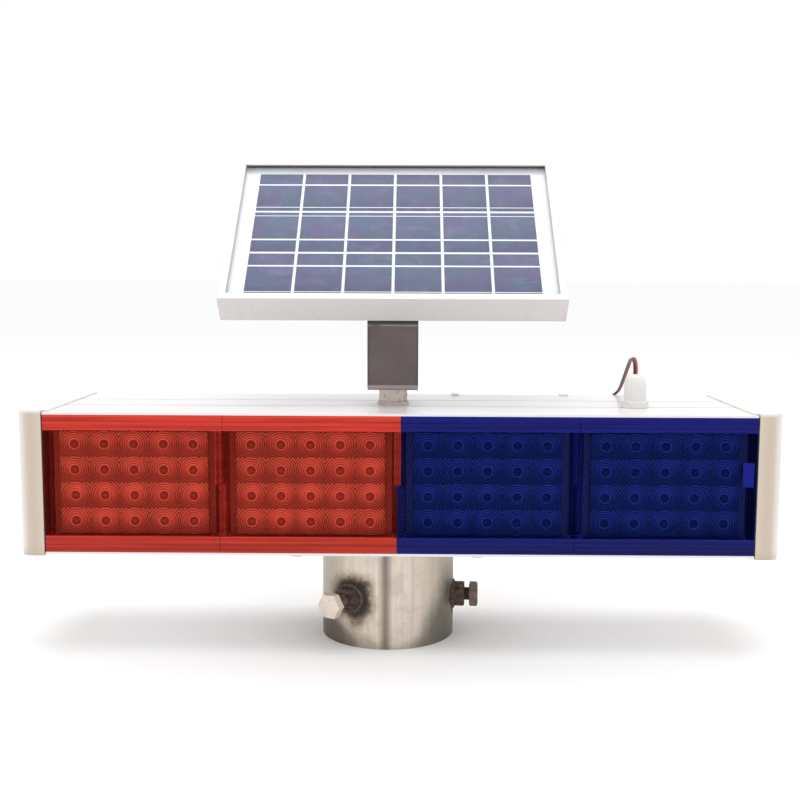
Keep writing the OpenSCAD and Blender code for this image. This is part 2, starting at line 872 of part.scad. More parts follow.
module solar_cells() {
    pitch_x = cell_w + cell_gap;
    pitch_y = cell_l + cell_gap;
    color("#3c4678") on_panel() translate([0, panel_l / 2 + cell_offset, cell_z])
        for (c = [0 : cell_cols - 1], r = [0 : cell_rows - 1])
            translate([
                (c - (cell_cols - 1) / 2) * pitch_x - cell_w / 2,
                (r - (cell_rows - 1) / 2) * pitch_y - cell_l / 2, 0
            ]) cube([cell_w, cell_l, cell_t]);
}

module backsheet() {
    color("white") panel_layer(sheet_z, sheet_t);
}

module panel_screws() {
    color("silver") on_panel() panel_screw_points() {
        translate([0, 0, -bracket_t - m5_head_h]) cylinder(r = m5_head_r, h = m5_head_h);
        translate([0, 0, -bracket_t]) cylinder(r = m5_r, h = bracket_t + frame_wall + m5_nut_h + 1);
        translate([0, 0, frame_wall]) hex_nut(m5_af, m5_nut_h, m5_r);
    }
}

module junction_box() {
    color("#1e1f22") on_panel() translate([jbox_x, jbox_s, sheet_z - jbox_h - jbox_lid_t]) {
        difference() {
            translate([-jbox_w / 2, -jbox_l / 2, jbox_lid_t]) cube([jbox_w, jbox_l, jbox_h]);
            translate([-jbox_w / 2 + jbox_wall, -jbox_l / 2 + jbox_wall, jbox_lid_t - over])
                cube([jbox_w - 2 * jbox_wall, jbox_l - 2 * jbox_wall, jbox_h - jbox_wall + over]);
        }
        translate([-jbox_w / 2 - 1, -jbox_l / 2 - 1, 0]) cube([jbox_w + 2, jbox_l + 2, jbox_lid_t]);
    }
}

// Cable gland, standing in the top rail
module cable_gland() {
    hex_r = gland_af / 2;
    color("white") on_housing() translate([gland_x, -gland_front, box_h]) {
        translate([0, 0, -rail_t - gland_thread_h])
            cylinder(r = gland_thread_r, h = rail_t + gland_thread_h);
        linear_extrude(gland_hex_h) hexagon(gland_af);
        cylinder(r = hex_r + gland_collar_rim, h = gland_collar_t);
        translate([0, 0, gland_hex_h]) rotate_extrude() polygon([
            [0, 0], [hex_r - gland_neck_in, 0], [hex_r - gland_neck_in, gland_dome_h * 0.62],
            [hex_r * 0.8, gland_dome_h * 0.84], [hex_r * 0.5, gland_dome_h * 0.97],
            [lead_d / 2 + gland_mouth_rim, gland_dome_h], [0, gland_dome_h]
        ]);
        translate([0, 0, -rail_t - gland_nut_h]) linear_extrude(gland_nut_h) hexagon(gland_af);
    }
}

// Lead: a tube swept along a smooth curve through its route
function unit(v) = v / norm(v);
function curve(a, b, c, d, t) =
    0.5 * (2 * b + (c - a) * t + (2 * a - 5 * b + 4 * c - d) * t * t + (3 * b - a - 3 * c + d) * t * t * t);
function smooth(p, steps) = let (last = len(p) - 1) concat(
    [for (i = [0 : last - 1]) for (k = [0 : steps - 1])
        curve(p[max(i - 1, 0)], p[i], p[i + 1], p[min(i + 2, last)], k / steps)],
    [p[last]]
);
function heading(p, i) = unit(p[min(i + 1, len(p) - 1)] - p[max(i - 1, 0)]);
function square_to(v, t) = unit(v - (v * t) * t);
function sideways(p) = [
    for (i = 0, u = square_to([1, 0.2, 0], heading(p, 0)); i < len(p);
        i = i + 1, u = i < len(p) ? square_to(u, heading(p, i)) : u) u
];

module tube(p, d, sides) {
    across = sideways(p);
    last = len(p) - 1;
    points = [for (i = [0 : last]) let (t = heading(p, i), v = cross(t, across[i]))
        for (k = [0 : sides - 1]) let (a = 360 * k / sides)
            p[i] + d / 2 * (cos(a) * across[i] + sin(a) * v)];
    walls = [for (i = [0 : last - 1], k = [0 : sides - 1]) let (j = (k + 1) % sides)
        [i * sides + k, (i + 1) * sides + k, (i + 1) * sides + j, i * sides + j]];
    start = [for (k = [0 : sides - 1]) k];
    finish = [for (k = [sides - 1 : -1 : 0]) last * sides + k];
    polyhedron(points, concat([start], walls, [finish]));
}

module panel_lead() {
    color("#a03028") translate([0, 0, box_top]) tube(smooth(upper_route, lead_steps), lead_d, lead_sides);
}

module housing_lead() {
    color("#a03028") translate([0, 0, box_top]) tube(smooth(lower_route, lead_steps), lead_d, lead_sides);
}

// Clips that hold the lead on the top rail and along its rear edge
module clip_ring() {
    difference() {
        children();
        cylinder(r = lead_d / 2 + clip_gap, h = clip_l + 2 * over, center = true);
    }
}

module saddle() {
    translate([0, 0, saddle_z]) rotate([90, 0, 0]) clip_ring() {
        cylinder(r = clip_r, h = clip_l, center = true);
        translate([-clip_r, -saddle_z, -clip_l / 2]) cube([2 * clip_r, saddle_z, clip_l]);
        translate([-clip_r - clip_foot, -saddle_z, -clip_l / 2])
            cube([clip_foot + clip_r, clip_t, clip_l]);
    }
}

module rear_hook() {
    edge = box_d / 2;
    translate([-clip_l / 2, edge - hook_reach, 0]) cube([clip_l, hook_reach + clip_t, clip_t]);
    difference() {
        union() {
            translate([-clip_l / 2, edge, hook_z]) cube([clip_l, clip_t, clip_t - hook_z]);
            translate([0, hook_y, hook_z]) rotate([0, 90, 0])
                cylinder(r = clip_r, h = clip_l, center = true);
        }
        translate([0, hook_y, hook_z]) rotate([0, 90, 0])
            cylinder(r = lead_d / 2 + clip_gap, h = clip_l + 2 * over, center = true);
        translate([-clip_l, edge - hook_reach, hook_z - clip_r - over])
            cube([2 * clip_l, hook_reach, clip_r + over - hook_z]);
    }
}

module lead_clips() {
    color("#202124") translate([0, 0, box_top]) {
        translate([swivel_shift, saddle_y, 0]) saddle();
        for (x = hook_x) translate([x, 0, 0]) rear_hook();
    }
}

top_rail();
bottom_rail();
end_cap(LEFT);  // end_cap_left
end_cap(RIGHT);  // end_cap_right
end_gasket(LEFT);  // gasket_left
end_gasket(RIGHT);  // gasket_right
end_cap_screws();
for (side = SIDES) {
    for (n = LAMPS) {
        lamp_cover(side[1], n);
        lamp_lens(side[1], n);
        tray(side[1], n);
    }
    led_boards(side[1]);
}
battery();
battery_strap();
controller_board();
switch_body();
switch_rocker();
pole_sleeve();
flange_fasteners();
weld_nuts();
set_screw(0);  // set_screw_left
set_screw(1);  // set_screw_right
set_screw(2);  // set_screw_rear
swivel_bolt();
swivel_nuts();
bracket();
frame_lower();
frame_upper();
frame_side(LEFT);  // frame_left
frame_side(RIGHT);  // frame_right
panel_glass();
solar_cells();
backsheet();
panel_screws();
junction_box();
cable_gland();
lead_clips();
panel_lead();
housing_lead();
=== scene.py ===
"""Gives a solar warning light its finished shapes and surfaces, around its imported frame."""

import json
import math

import bmesh
import bpy
from bpy.props import FloatProperty, FloatVectorProperty, IntProperty, PointerProperty
from mathutils import Matrix, Vector, noise


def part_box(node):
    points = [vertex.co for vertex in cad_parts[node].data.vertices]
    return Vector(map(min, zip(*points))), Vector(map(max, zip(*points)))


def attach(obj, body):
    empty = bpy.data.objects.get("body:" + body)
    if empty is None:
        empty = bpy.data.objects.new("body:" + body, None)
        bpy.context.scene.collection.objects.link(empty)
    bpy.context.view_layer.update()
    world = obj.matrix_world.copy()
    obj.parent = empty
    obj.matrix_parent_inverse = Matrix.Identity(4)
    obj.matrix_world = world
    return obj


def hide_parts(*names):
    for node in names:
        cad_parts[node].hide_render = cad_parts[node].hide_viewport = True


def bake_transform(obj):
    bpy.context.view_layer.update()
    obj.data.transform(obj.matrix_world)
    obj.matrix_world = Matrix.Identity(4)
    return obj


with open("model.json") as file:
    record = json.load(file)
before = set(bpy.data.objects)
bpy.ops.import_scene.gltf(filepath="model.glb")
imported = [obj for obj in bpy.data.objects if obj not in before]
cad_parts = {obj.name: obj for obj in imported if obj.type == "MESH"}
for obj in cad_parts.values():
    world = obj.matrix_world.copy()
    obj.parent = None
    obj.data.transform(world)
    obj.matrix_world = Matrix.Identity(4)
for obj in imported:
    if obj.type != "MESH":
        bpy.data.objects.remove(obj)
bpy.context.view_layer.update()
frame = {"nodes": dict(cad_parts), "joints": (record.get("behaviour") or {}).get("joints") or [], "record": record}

bl_info = {
    "name": "Solar warning light",
    "version": (1, 0, 0),
    "blender": (4, 5, 0),
    "location": "View3D > Sidebar > Warning light",
    "description": "Builds the finished pieces of a pole-mounted solar warning light",
    "category": "Object",
}

MM = 0.001
SIDES = ("front", "rear")
LAMPS = (1, 2, 3, 4)
RED_LAMPS = (1, 2)
BODY_OF = {n: body for body, nodes in frame["record"]["behaviour"]["bodies"].items() for n in nodes}
SLOT_OF = {row["node"]: row["material_slot"] for row in frame["record"]["subparts"]}
RAIL_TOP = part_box("top_rail")[1].z
HOUSING_X = sum(corner.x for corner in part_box("top_rail")) / 2
HOUSING_HALF = -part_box("cover_front_1")[0].y
POLE_SCREWS = ("set_screw_left", "set_screw_right", "set_screw_rear")

# Route of the lead in millimetres, heights measured from the top of the housing
UPPER_ROUTE = (
    (-56, 32, 144), (-56, 26, 138), (-51, 23, 126), (-40, 26, 108), (-22, 32, 92), (-8, 36, 72),
    (0, 38, 50), (3, 39.5, 32), (4, 40.5, 20), (4, 42, 12), (4, 45.5, 6.2), (4, 50.5, 3.7),
    (4, 53, 3.7), (4, 55, 3.7),
)
LOWER_ROUTE = (
    (4, 55, 3.7), (4, 59, 3.7), (4, 62, 3.7), (5, 70, 4), (10, 78, 1.5), (21, 79, -4), (34, 79, -5),
    (80, 79, -5), (140, 79, -5), (190, 79, -5), (202, 79, -4), (210, 78.5, 1.5), (212, 70, 7),
    (211, 52, 15), (210, 32, 25), (209, 14, 34), (208, 0, 39), (208, -11, 40), (208, -18, 37),
    (208, -20, 32.5), (208, -20, 28),
)


# Settings that a user would change

def length(name, description, default):
    return FloatProperty(name=name, description=description, default=default, min=0.0,
                         precision=5, subtype="DISTANCE", unit="LENGTH")


def colour(name, description, default):
    return FloatVectorProperty(name=name, description=description, default=default, size=3,
                               min=0.0, max=1.0, subtype="COLOR")


class HousingSettings(bpy.types.PropertyGroup):
    rail_edge: length("Rail edge", "Rounding of the rails' edges", 0.0004)
    cap_edge: length("Cap edge", "Rounding of the end caps' edges", 0.0016)
    rail_colour: colour("Rail paint", "Colour of the painted rails", (0.76, 0.74, 0.74))
    cap_colour: colour("Cap plastic", "Colour of the end caps", (0.62, 0.53, 0.45))


class LampSettings(bpy.types.PropertyGroup):
    cover_edge: length("Cover edge", "Rounding of the covers' edges", 0.00015)
    ring_pitch: length("Ring pitch", "Distance between a lens's rings", 0.0019)
    ring_height: length("Ring height", "Height of a lens's rings", 0.0006)
    eye_radius: length("Eye radius", "Radius of the dome in the middle of a lens", 0.0037)
    eye_height: length("Eye height", "Height of that dome", 0.0010)
    columns: IntProperty(name="Columns", description="Lenses along a plate", default=5, min=1)
    rows: IntProperty(name="Rows", description="Lenses up a plate", default=4, min=1)
    red: colour("Red moulding", "Colour of the red covers", (0.58, 0.040, 0.024))
    blue: colour("Blue moulding", "Colour of the blue covers", (0.002, 0.005, 0.150))


class SleeveSettings(bpy.types.PropertyGroup):
    edge: length("Edge", "Rounding of the sleeve's edges", 0.0004)
    bead_radius: length("Weld bead", "Radius of a weld bead's section", 0.0022)
    thread_pitch: length("Thread pitch", "Pitch of the set screws' threads", 0.00175)
    thread_depth: length("Thread depth", "Depth of the set screws' threads", 0.0009)
    steel: colour("Steel", "Colour of the brushed sleeve", (0.74, 0.65, 0.55))
    scorch: colour("Scorch", "Colour of the steel beside a weld", (0.035, 0.026, 0.020))


class PanelSettings(bpy.types.PropertyGroup):
    frame_edge: length("Frame edge", "Rounding of the frame's edges", 0.0004)
    cell_width: length("Cell width", "Width of a solar cell", 0.039)
    cell_length: length("Cell length", "Length of a solar cell", 0.052)
    cell_gap: length("Cell gap", "Gap between solar cells", 0.0025)
    cell_offset: FloatProperty(name="Cell offset", description="Shift of the cells up the slope",
                               default=-0.003, subtype="DISTANCE", unit="LENGTH")
    bar_width: length("Bus bar", "Width of a bus bar", 0.0019)
    aluminium: colour("Aluminium", "Colour of the panel's frame", (0.66, 0.635, 0.62))
    silicon: colour("Silicon", "Colour of the cells", (0.090, 0.100, 0.185))


class LeadSettings(bpy.types.PropertyGroup):
    core_radius: length("Core radius", "Radius of one of the lead's two cores", 0.001)
    flute_count: IntProperty(name="Flutes", description="Flutes round the gland's dome", default=18)


class StageSettings(bpy.types.PropertyGroup):
    sky: FloatProperty(name="Sky", description="Brightness of the surroundings", default=1.0)
    top_power: FloatProperty(name="Top light", description="Power of the light overhead",
                             default=20.0, subtype="POWER", unit="POWER")
    floor_colour: colour("Floor", "Colour of the floor", (0.97, 0.97, 0.97))


class WarningLightSettings(bpy.types.PropertyGroup):
    housing: PointerProperty(type=HousingSettings)
    lamps: PointerProperty(type=LampSettings)
    sleeve: PointerProperty(type=SleeveSettings)
    panel: PointerProperty(type=PanelSettings)
    lead: PointerProperty(type=LeadSettings)
    stage: PointerProperty(type=StageSettings)


# Shader writing

class Wire:
    """A shader socket that can stand in ordinary arithmetic. Each operation adds a Math node."""

    def __init__(self, paint, socket):
        self.paint = paint
        self.socket = socket

    def maths(self, operation, *values):
        return self.paint.node("ShaderNodeMath", {"operation": operation}, dict(enumerate(values)))

    def __add__(self, other):
        return self.maths("ADD", self, other)

    def __sub__(self, other):
        return self.maths("SUBTRACT", self, other)

    def __rsub__(self, other):
        return self.maths("SUBTRACT", other, self)

    def __mul__(self, other):
        return self.maths("MULTIPLY", self, other)

    def __truediv__(self, other):
        return self.maths("DIVIDE", self, other)

    def __pow__(self, other):
        return self.maths("POWER", self, other)

    def fraction(self):
        return self.maths("FRACT", self)

    def size(self):
        return self.maths("ABSOLUTE", self)

    def at_most(self, other):
        return self.maths("MINIMUM", self, other)

    def at_least(self, other):
        return self.maths("MAXIMUM", self, other)

    __radd__ = __add__
    __rmul__ = __mul__


class Paint:
    """A material being put together."""

    def __init__(self, name):
        self.material = bpy.data.materials.new(name)
        self.material.use_nodes = True
        self.tree = self.material.node_tree
        self.tree.nodes.clear()
        self.place = self.node("ShaderNodeTexCoord", {}, {}, "Object")

    def node(self, kind, settings, sockets, output=0):
        """Adds a node: its settings are set first, then its sockets' values or links."""
        made = self.tree.nodes.new(kind)
        for key, value in settings.items():
            setattr(made, key, value)
        for key, value in sockets.items():
            if isinstance(value, Wire):
                self.tree.links.new(value.socket, made.inputs[key])
            else:
                made.inputs[key].default_value = value
        return Wire(self, made.outputs[output])

    def axes(self):
        split = self.node("ShaderNodeSeparateXYZ", {}, {0: self.place}).socket.node
        return [Wire(self, out) for out in split.outputs]

    def stretched(self, scales):
        return self.node("ShaderNodeVectorMath", {"operation": "MULTIPLY"},
                         {0: self.place, 1: scales})

    def noise(self, scale, detail=4.0, roughness=0.55):
        """Noise of one scale, or of one for each axis."""
        even = isinstance(scale, float)
        return self.node("ShaderNodeTexNoise", {}, {
            "Vector": self.place if even else self.stretched(scale),
            "Scale": scale if even else 1.0, "Detail": detail, "Roughness": roughness})

    def step(self, value, low, high, start=0.0, end=1.0):
        """Rises smoothly from start to end as value goes from low to high."""
        return self.node("ShaderNodeMapRange", {"interpolation_type": "SMOOTHSTEP"},
                         {0: value, 1: low, 2: high, 3: start, 4: end})

    def band(self, value, low, high, soft):
        """One between low and high, rising and falling over a soft margin inside them."""
        return self.step(value, low, low + soft) * self.step(value, high, high - soft)

    def near(self, value, middle, reach):
        """One where value is at middle, falling to nothing a reach away."""
        return self.step((value - middle).size(), 0.0, reach, 1.0, 0.0)

    def distance(self, point):
        return self.node("ShaderNodeVectorMath", {"operation": "DISTANCE"},
                         {0: self.place, 1: tuple(point)}, "Value")

    def mixed(self, amount, first, second):
        """Mixes two colours."""
        return self.node("ShaderNodeMix", {"data_type": "RGBA"},
                         {0: amount, 6: full(first), 7: full(second)}, 2)

    def toned(self, amount, base, low, high):
        """A colour that goes from one shade of itself to another."""
        return self.mixed(amount, shade(base, low), shade(base, high))

    def layered(self, base, *coats):
        """Lays colours over a base one by one, each with its own amount."""
        for amount, coat in coats:
            base = self.mixed(amount, base, coat)
        return base

    def relief(self, height, depth):
        return self.node("ShaderNodeBump", {},
                         {"Height": height, "Distance": depth, "Strength": 1.0})

    def shader(self, sockets):
        sockets["Base Color"] = full(sockets["Base Color"])
        return self.node("ShaderNodeBsdfPrincipled", {}, sockets)

    def solid(self, sockets):
        """The material, covered by one Principled shader."""
        return self.done(self.shader(sockets))

    def clear(self, amount, tint, body):
        """The material, see-through but for that amount of a body shader."""
        glass = self.node("ShaderNodeBsdfTransparent", {}, {"Color": full(tint)})
        return self.done(self.node("ShaderNodeMixShader", {}, {0: amount, 1: glass, 2: body}))

    def done(self, surface):
        output = self.tree.nodes.new("ShaderNodeOutputMaterial")
        self.tree.links.new(surface.socket, output.inputs["Surface"])
        return self.material


def full(value):
    """A colour with its fourth number, or whatever else was given as it is."""
    return value if isinstance(value, Wire) or len(value) == 4 else (*value, 1.0)


def shade(colour_value, factor):
    return tuple(min(1.0, part * factor) for part in colour_value)


def moulded(name, base, grain=0.00004, rough=0.45, change=0.12, fine=1800.0):
    """Moulded plastic: slow changes of tone, fine grain, and a gloss that varies a little."""
    p = Paint(name)
    tone = p.noise(22.0, 5.0)
    speck = p.noise(fine, 2.0)
    base_colour = p.toned(tone, base, 1 - change, 1 + change)
    return p.solid({
        "Base Color": p.mixed(p.step(speck, 0.55, 0.8) * 0.25, base_colour, shade(base, 0.8)),
        "Roughness": rough - 0.08 + tone * 0.16,
        "Normal": p.relief(speck, grain),
    })


def plated(name, base, stain, rough=0.3, stained=0.35, scale=160.0):
    """Bright metal with cloudy stains and small scratches."""
    p = Paint(name)
    cloud = p.noise(scale, 6.0, 0.65)
    scratch = p.noise((400.0, 400.0, 4000.0), 3.0, 0.6)
    patches = p.step(cloud, 0.62 - stained * 0.3, 0.78)
    bright = p.toned(scratch, base, 0.86, 1.1)
    return p.solid({
        "Base Color": p.mixed(patches, bright, stain),
        "Metallic": 1.0 - patches * 0.5,
        "Roughness": rough + patches * 0.3 + scratch * 0.12,
        "Normal": p.relief(scratch + cloud * 2.0, 0.00004),
    })


def rail_paint(base):
    p = Paint("rail_paint")
    x, y = p.axes()[:2]
    groove_at, groove_reach = 22 * MM, 2.4 * MM
    wipe = p.noise((9.0, 160.0, 160.0), 5.0, 0.6)
    dust = p.noise(420.0, 3.0, 0.7)
    peel = p.noise(700.0, 2.0)
    # Dark lines along the top's grooves: dirt in them and painted shade.
    groove_dirt_and_shade = p.near(y.size(), groove_at, groove_reach) * 0.8 * p.step(wipe, 0.2, 0.45)
    # A soft brownish patch on the top towards the rear, by the gland.
    by_gland = p.near(x, 110 * MM, 95 * MM) * p.step(y, 18 * MM, 34 * MM)
    brown_patch = by_gland * p.step(wipe, 0.3, 0.6) * 0.3
    clean = p.toned(wipe, base, 0.95, 1.05)
    tinted = p.mixed(p.step(dust, 0.66, 0.82) * 0.3 + brown_patch, clean, (0.42, 0.34, 0.29))
    return p.solid({
        "Base Color": p.mixed(groove_dirt_and_shade, tinted, (0.20, 0.18, 0.17)),
        "Roughness": 0.24 + wipe * 0.2, "Coat Weight": 0.35, "Coat Roughness": 0.12,
        "Normal": p.relief(peel, 0.00002),
    })


def cap_plastic(base):
    p = Paint("cap_plastic")
    x, y, z = p.axes()
    tone = p.noise(14.0, 4.0)
    grain = p.noise(1500.0, 2.0)
    grime = p.noise(60.0, 6.0, 0.7)
    low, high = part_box("end_cap_left")
    out = (x - HOUSING_X).size()
    # Painted shade: a warm darker band down the inner part of each cap's face.
    shade_band_at, shade_band_reach = 295 * MM, 9 * MM
    # Painted highlights: the rounded outer edge and the top are lighter.
    outer_edge_highlight = p.step(out, 298 * MM, 305 * MM) * p.step(y.size(), 66 * MM, 74 * MM)
    top_highlight = p.step(z, high.z - 3 * MM, high.z - 0.5 * MM)
    # Darker towards the bottom, with patches of grime.
    darker_foot_and_grime = p.step(z, low.z + 10 * MM, low.z - 1 * MM) * 0.4 + p.step(grime, 0.6, 0.8) * 0.18
    wear_and_painted_light = p.layered(
        base,
        (p.near(out, shade_band_at, shade_band_reach) * 0.6, (0.53, 0.42, 0.32)),
        (outer_edge_highlight.at_least(top_highlight), (0.78, 0.75, 0.72)),
        (tone * 0.2, shade(base, 0.85)),
        (darker_foot_and_grime, (0.40, 0.33, 0.26)),
    )
    return p.solid({
        "Base Color": wear_and_painted_light, "Roughness": 0.38 + tone * 0.14,
        "Normal": p.relief(grain, 0.00003),
    })


def cover_plastic(name, base, tint):
    """A clear coloured moulding: see-through in the window, nearly solid in its ribbed strips, its
    laps and its latch tab."""
    p = Paint(name)
    x, y, z = p.axes()
    low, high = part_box("cover_front_1")
    middle = (low.z + high.z) / 2
    strip_top, strip_foot = low.z + 12.9 * MM, high.z - 12.1 * MM
    lap_start, lap_end, lap_step = -0.6 * MM, 4.8 * MM, 3 * MM
    tab_start, tab_end, tab_height = 274.5 * MM, 284 * MM, 20 * MM
    soft = 0.3 * MM
    in_window = p.band(z, strip_top, strip_foot, 0.7 * MM)
    across = x - HOUSING_X
    upper = p.step(z, middle - soft, middle + soft)
    lap = line = None
    for joint in (-1, 0, 1):
        u = across - joint * (high.x - low.x) + upper * lap_step
        band = p.band(u, lap_start, lap_end, 0.8 * MM)
        rims = p.near(u, lap_start + 0.2 * MM, 0.7 * MM) + p.near(u, lap_end - 0.4 * MM, 0.7 * MM)
        lap = band if lap is None else lap + band
        line = rims if line is None else line + rims
    along = across * y / -HOUSING_HALF
    tab = (p.band(along, tab_start, tab_end, 0.5 * MM)
           * p.band(z, middle - soft, middle + tab_height + soft, 2 * soft))
    bands = p.noise((7.0, 7.0, 330.0), 3.0, 0.6)
    smear = p.noise(35.0, 5.0, 0.6)
    # Painted highlights: light lines along the strips' beads and the top rim.
    edge = (p.near(z, strip_top + soft, 1.3 * MM) + p.near(z, strip_foot - soft, 1.6 * MM)
            + p.near(z, high.z - 1.0 * MM, 1.6 * MM))
    toned = p.toned(p.step(bands, 0.36, 0.64), base, 0.74, 1.16)
    lit = p.mixed(edge * 0.6, toned, shade(base, 1.55))
    # Painted shade: the lower half of each cover darker.
    lower_shade = p.step(z, middle, low.z) * 0.3
    body = p.shader({
        "Base Color": p.mixed(tab * 0.8, p.mixed(lower_shade, lit, shade(base, 0.5)), shade(base, 1.9)),
        "Roughness": 0.12 + smear * 0.12, "IOR": 1.49, "Specular IOR Level": 0.16,
        "Normal": p.relief(bands, 0.0001),
    })
    amount = 0.94 - in_window * (0.88 - lap * 0.16 - line * 0.30 - tab * 0.7)
    return p.clear(amount.at_least(0.0).at_most(1.0), tint, body)


def lens_plastic(name, settings, cell, dark, middling, bright):
    """Ringed lenses: painted highlights on the crests and round the eye, painted light on each lens's upper part
    and middle, dull valleys and a dark eye with a light point.
    """
    p = Paint(name)
    x, _, z = p.axes()
    eye_edge = settings.eye_radius
    across = ((x / cell[0] + settings.columns * 0.5).fraction() - 0.5) * cell[0]
    up = ((z / cell[1] + settings.rows * 0.5).fraction() - 0.5) * cell[1]
    radius = (across * across + up * up) ** 0.5
    ring = ((radius - eye_edge) / settings.ring_pitch).fraction()
    # Painted highlights: light crests on the rings.
    crest = p.step((ring - 0.45).size(), 0.30, 0.08) * p.step(radius, eye_edge, eye_edge * 1.05)
    patch = p.noise(26.0, 3.0, 0.6)
    # Painted light: each lens lighter in its upper part and towards its middle.
    upper_light = p.step(up - (across * 0.3).size(), -8 * MM, 7 * MM)
    inner = p.step(radius, 13.0 * MM, 5.5 * MM)
    glow = p.toned(p.step(patch, 0.38, 0.64), middling, 0.80, 1.55)
    body = p.mixed((upper_light * 0.25 + inner * (0.3 + upper_light * 0.5)).at_most(1.0), dark, glow)
    lit = p.mixed(crest * (0.2 + upper_light * 0.5), body, bright)
    # Painted highlight: a light ring round the eye.
    rim = p.near(radius, eye_edge * 1.1, 0.7 * MM) * 0.45
    eye = p.step(radius, eye_edge * 1.02, eye_edge * 0.9) * 0.9
    point = p.step(radius, 1.5 * MM, 0.5 * MM) * 0.5
    ringed = p.mixed(rim, lit, bright)
    return p.solid({
        "Base Color": p.mixed(point, p.mixed(eye, ringed, dark), middling),
        "Roughness": 0.3 + patch * 0.12, "IOR": 1.49, "Specular IOR Level": 0.25,
    })


def sleeve_steel(settings):
    """Worn brushed tube: vertical streaks, a weld seam, dark lower corners and heat marks, with painted shade
    towards both sides and a painted dark reflection down the right.
    """
    p = Paint("sleeve_steel")
    x, y, z = p.axes()
    steel = tuple(settings.steel)
    streak = p.noise((300.0, 300.0, 5.0), 5.0, 0.65)
    broad = p.noise((55.0, 55.0, 4.0), 3.0, 0.6)
    cloud = p.noise(38.0, 6.0, 0.62)
    fine = p.noise(520.0, 3.0, 0.6)
    tint = p.noise(27.0, 4.0, 0.6)
    rough_z = z + (cloud - 0.5) * 40 * MM
    left_side = p.step(x + rough_z * 0.5, -14 * MM, -34 * MM)
    # Painted reflection: a dark band down the right side of the tube.
    right_reflection = p.step(x - rough_z * 0.45, 14 * MM, 32 * MM)
    seam = p.near(x, -1 * MM, 7 * MM) * p.step(y, 0.0, -20 * MM)
    wear_and_painted_light = p.layered(
        p.toned(streak, steel, 0.68, 1.18),
        (p.step(broad, 0.5, 0.72) * 0.6, (0.50, 0.40, 0.37)),
        (p.step(tint, 0.52, 0.68) * 0.45, (0.46, 0.33, 0.34)),
        (p.step(tint, 0.46, 0.34) * 0.45, (0.40, 0.40, 0.27)),
        # Painted shade: darker towards both sides of the tube.
        (p.step(x.size(), 28 * MM, 57 * MM) * 0.6, (0.26, 0.22, 0.17)),
        (seam * (0.55 + streak * 0.45), (0.13, 0.10, 0.085)),
        (left_side * p.step(rough_z, 42 * MM, 14 * MM) * 0.8, (0.075, 0.052, 0.05)),
        (right_reflection * (0.35 + cloud * 0.75), (0.095, 0.10, 0.075)),
        (p.step(rough_z, 12 * MM, 0.0) * 0.35, (0.16, 0.13, 0.08)),
    )
    scorch = None
    for name in POLE_SCREWS:
        far = p.distance(wall_point(name))
        here = p.step(far + cloud * 26 * MM, 42 * MM, 22 * MM)
        scorch = here if scorch is None else scorch.at_least(here)
    straw = p.mixed((scorch * 1.6).at_most(0.8), wear_and_painted_light, (0.24, 0.16, 0.10))
    burnt = p.mixed(p.step(scorch, 0.35, 0.8), straw, tuple(settings.scorch))
    pits = p.step(fine, 0.60, 0.74) * (0.25 + scorch * 0.5)
    return p.solid({
        "Base Color": p.mixed(pits, burnt, (0.10, 0.08, 0.065)),
        "Metallic": 0.7 - scorch * 0.5, "Roughness": 0.30 + streak * 0.16 + scorch * 0.25,
        "Normal": p.relief(streak + fine * 0.6 + scorch * fine * 3.0, 0.0001),
    })


def bracket_steel():
    """Dull dark plate, scuffed, with a painted highlight along its lower bend, a light broken line at its upper
    fold and a painted shadow above that fold.
    """
    p = Paint("bracket_steel")
    x, y, z = p.axes()
    base = (0.118, 0.094, 0.092)
    cloud = p.noise(45.0, 6.0, 0.65)
    scuff = p.noise((30.0, 300.0, 700.0), 4.0, 0.6)
    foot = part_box("bracket")[0].z
    # Painted highlight: a light strip along the lower bend.
    low_bend_highlight = p.step(z, foot + 5.4 * MM, foot + 3.6 * MM) * p.step(y, -20 * MM, -24 * MM)
    fold = p.near(z, foot + 54.6 * MM, 1.0 * MM) * p.step(cloud, 0.30, 0.45)
    shaded = p.step(z, foot + 55.2 * MM, foot + 56.4 * MM) * 0.8
    sides = p.step((x - 4 * MM).size(), 18 * MM, 21 * MM)
    folded = p.layered(
        p.toned(cloud, base, 0.7, 1.3),
        (p.step(p.noise(24.0, 4.0), 0.5, 0.7) * 0.5, (0.15, 0.10, 0.115)),
        (p.step(scuff, 0.60, 0.72) * 0.3, (0.24, 0.21, 0.20)),
        (sides * 0.5, (0.05, 0.042, 0.042)),
        (low_bend_highlight * (0.3 + cloud * 0.6), (0.55, 0.48, 0.49)),
        (shaded, (0.03, 0.03, 0.03)),
        (fold * 0.6, (0.36, 0.33, 0.33)),
    )
    return p.solid({
        "Base Color": folded, "Metallic": 0.15, "Roughness": 0.42 + cloud * 0.2,
        "Specular IOR Level": 0.3, "Normal": p.relief(cloud + scuff, 0.00006),
    })


def frame_aluminium(base):
    p = Paint("frame_aluminium")
    grain = p.noise((14.0, 900.0, 900.0), 4.0, 0.6)
    stain = p.noise(26.0, 6.0, 0.65)
    run = p.noise((70.0, 14.0, 14.0), 3.0, 0.6)
    clean = p.toned(grain, base, 0.94, 1.06)
    stained = p.mixed(p.step(stain, 0.52, 0.78) * 0.35, clean, (0.50, 0.46, 0.42))
    return p.solid({
        "Base Color": p.mixed(p.step(run, 0.6, 0.8) * 0.2, stained, (0.44, 0.41, 0.38)),
        "Metallic": 0.35, "Roughness": 0.38 + grain * 0.1, "Normal": p.relief(grain, 0.00002),
    })


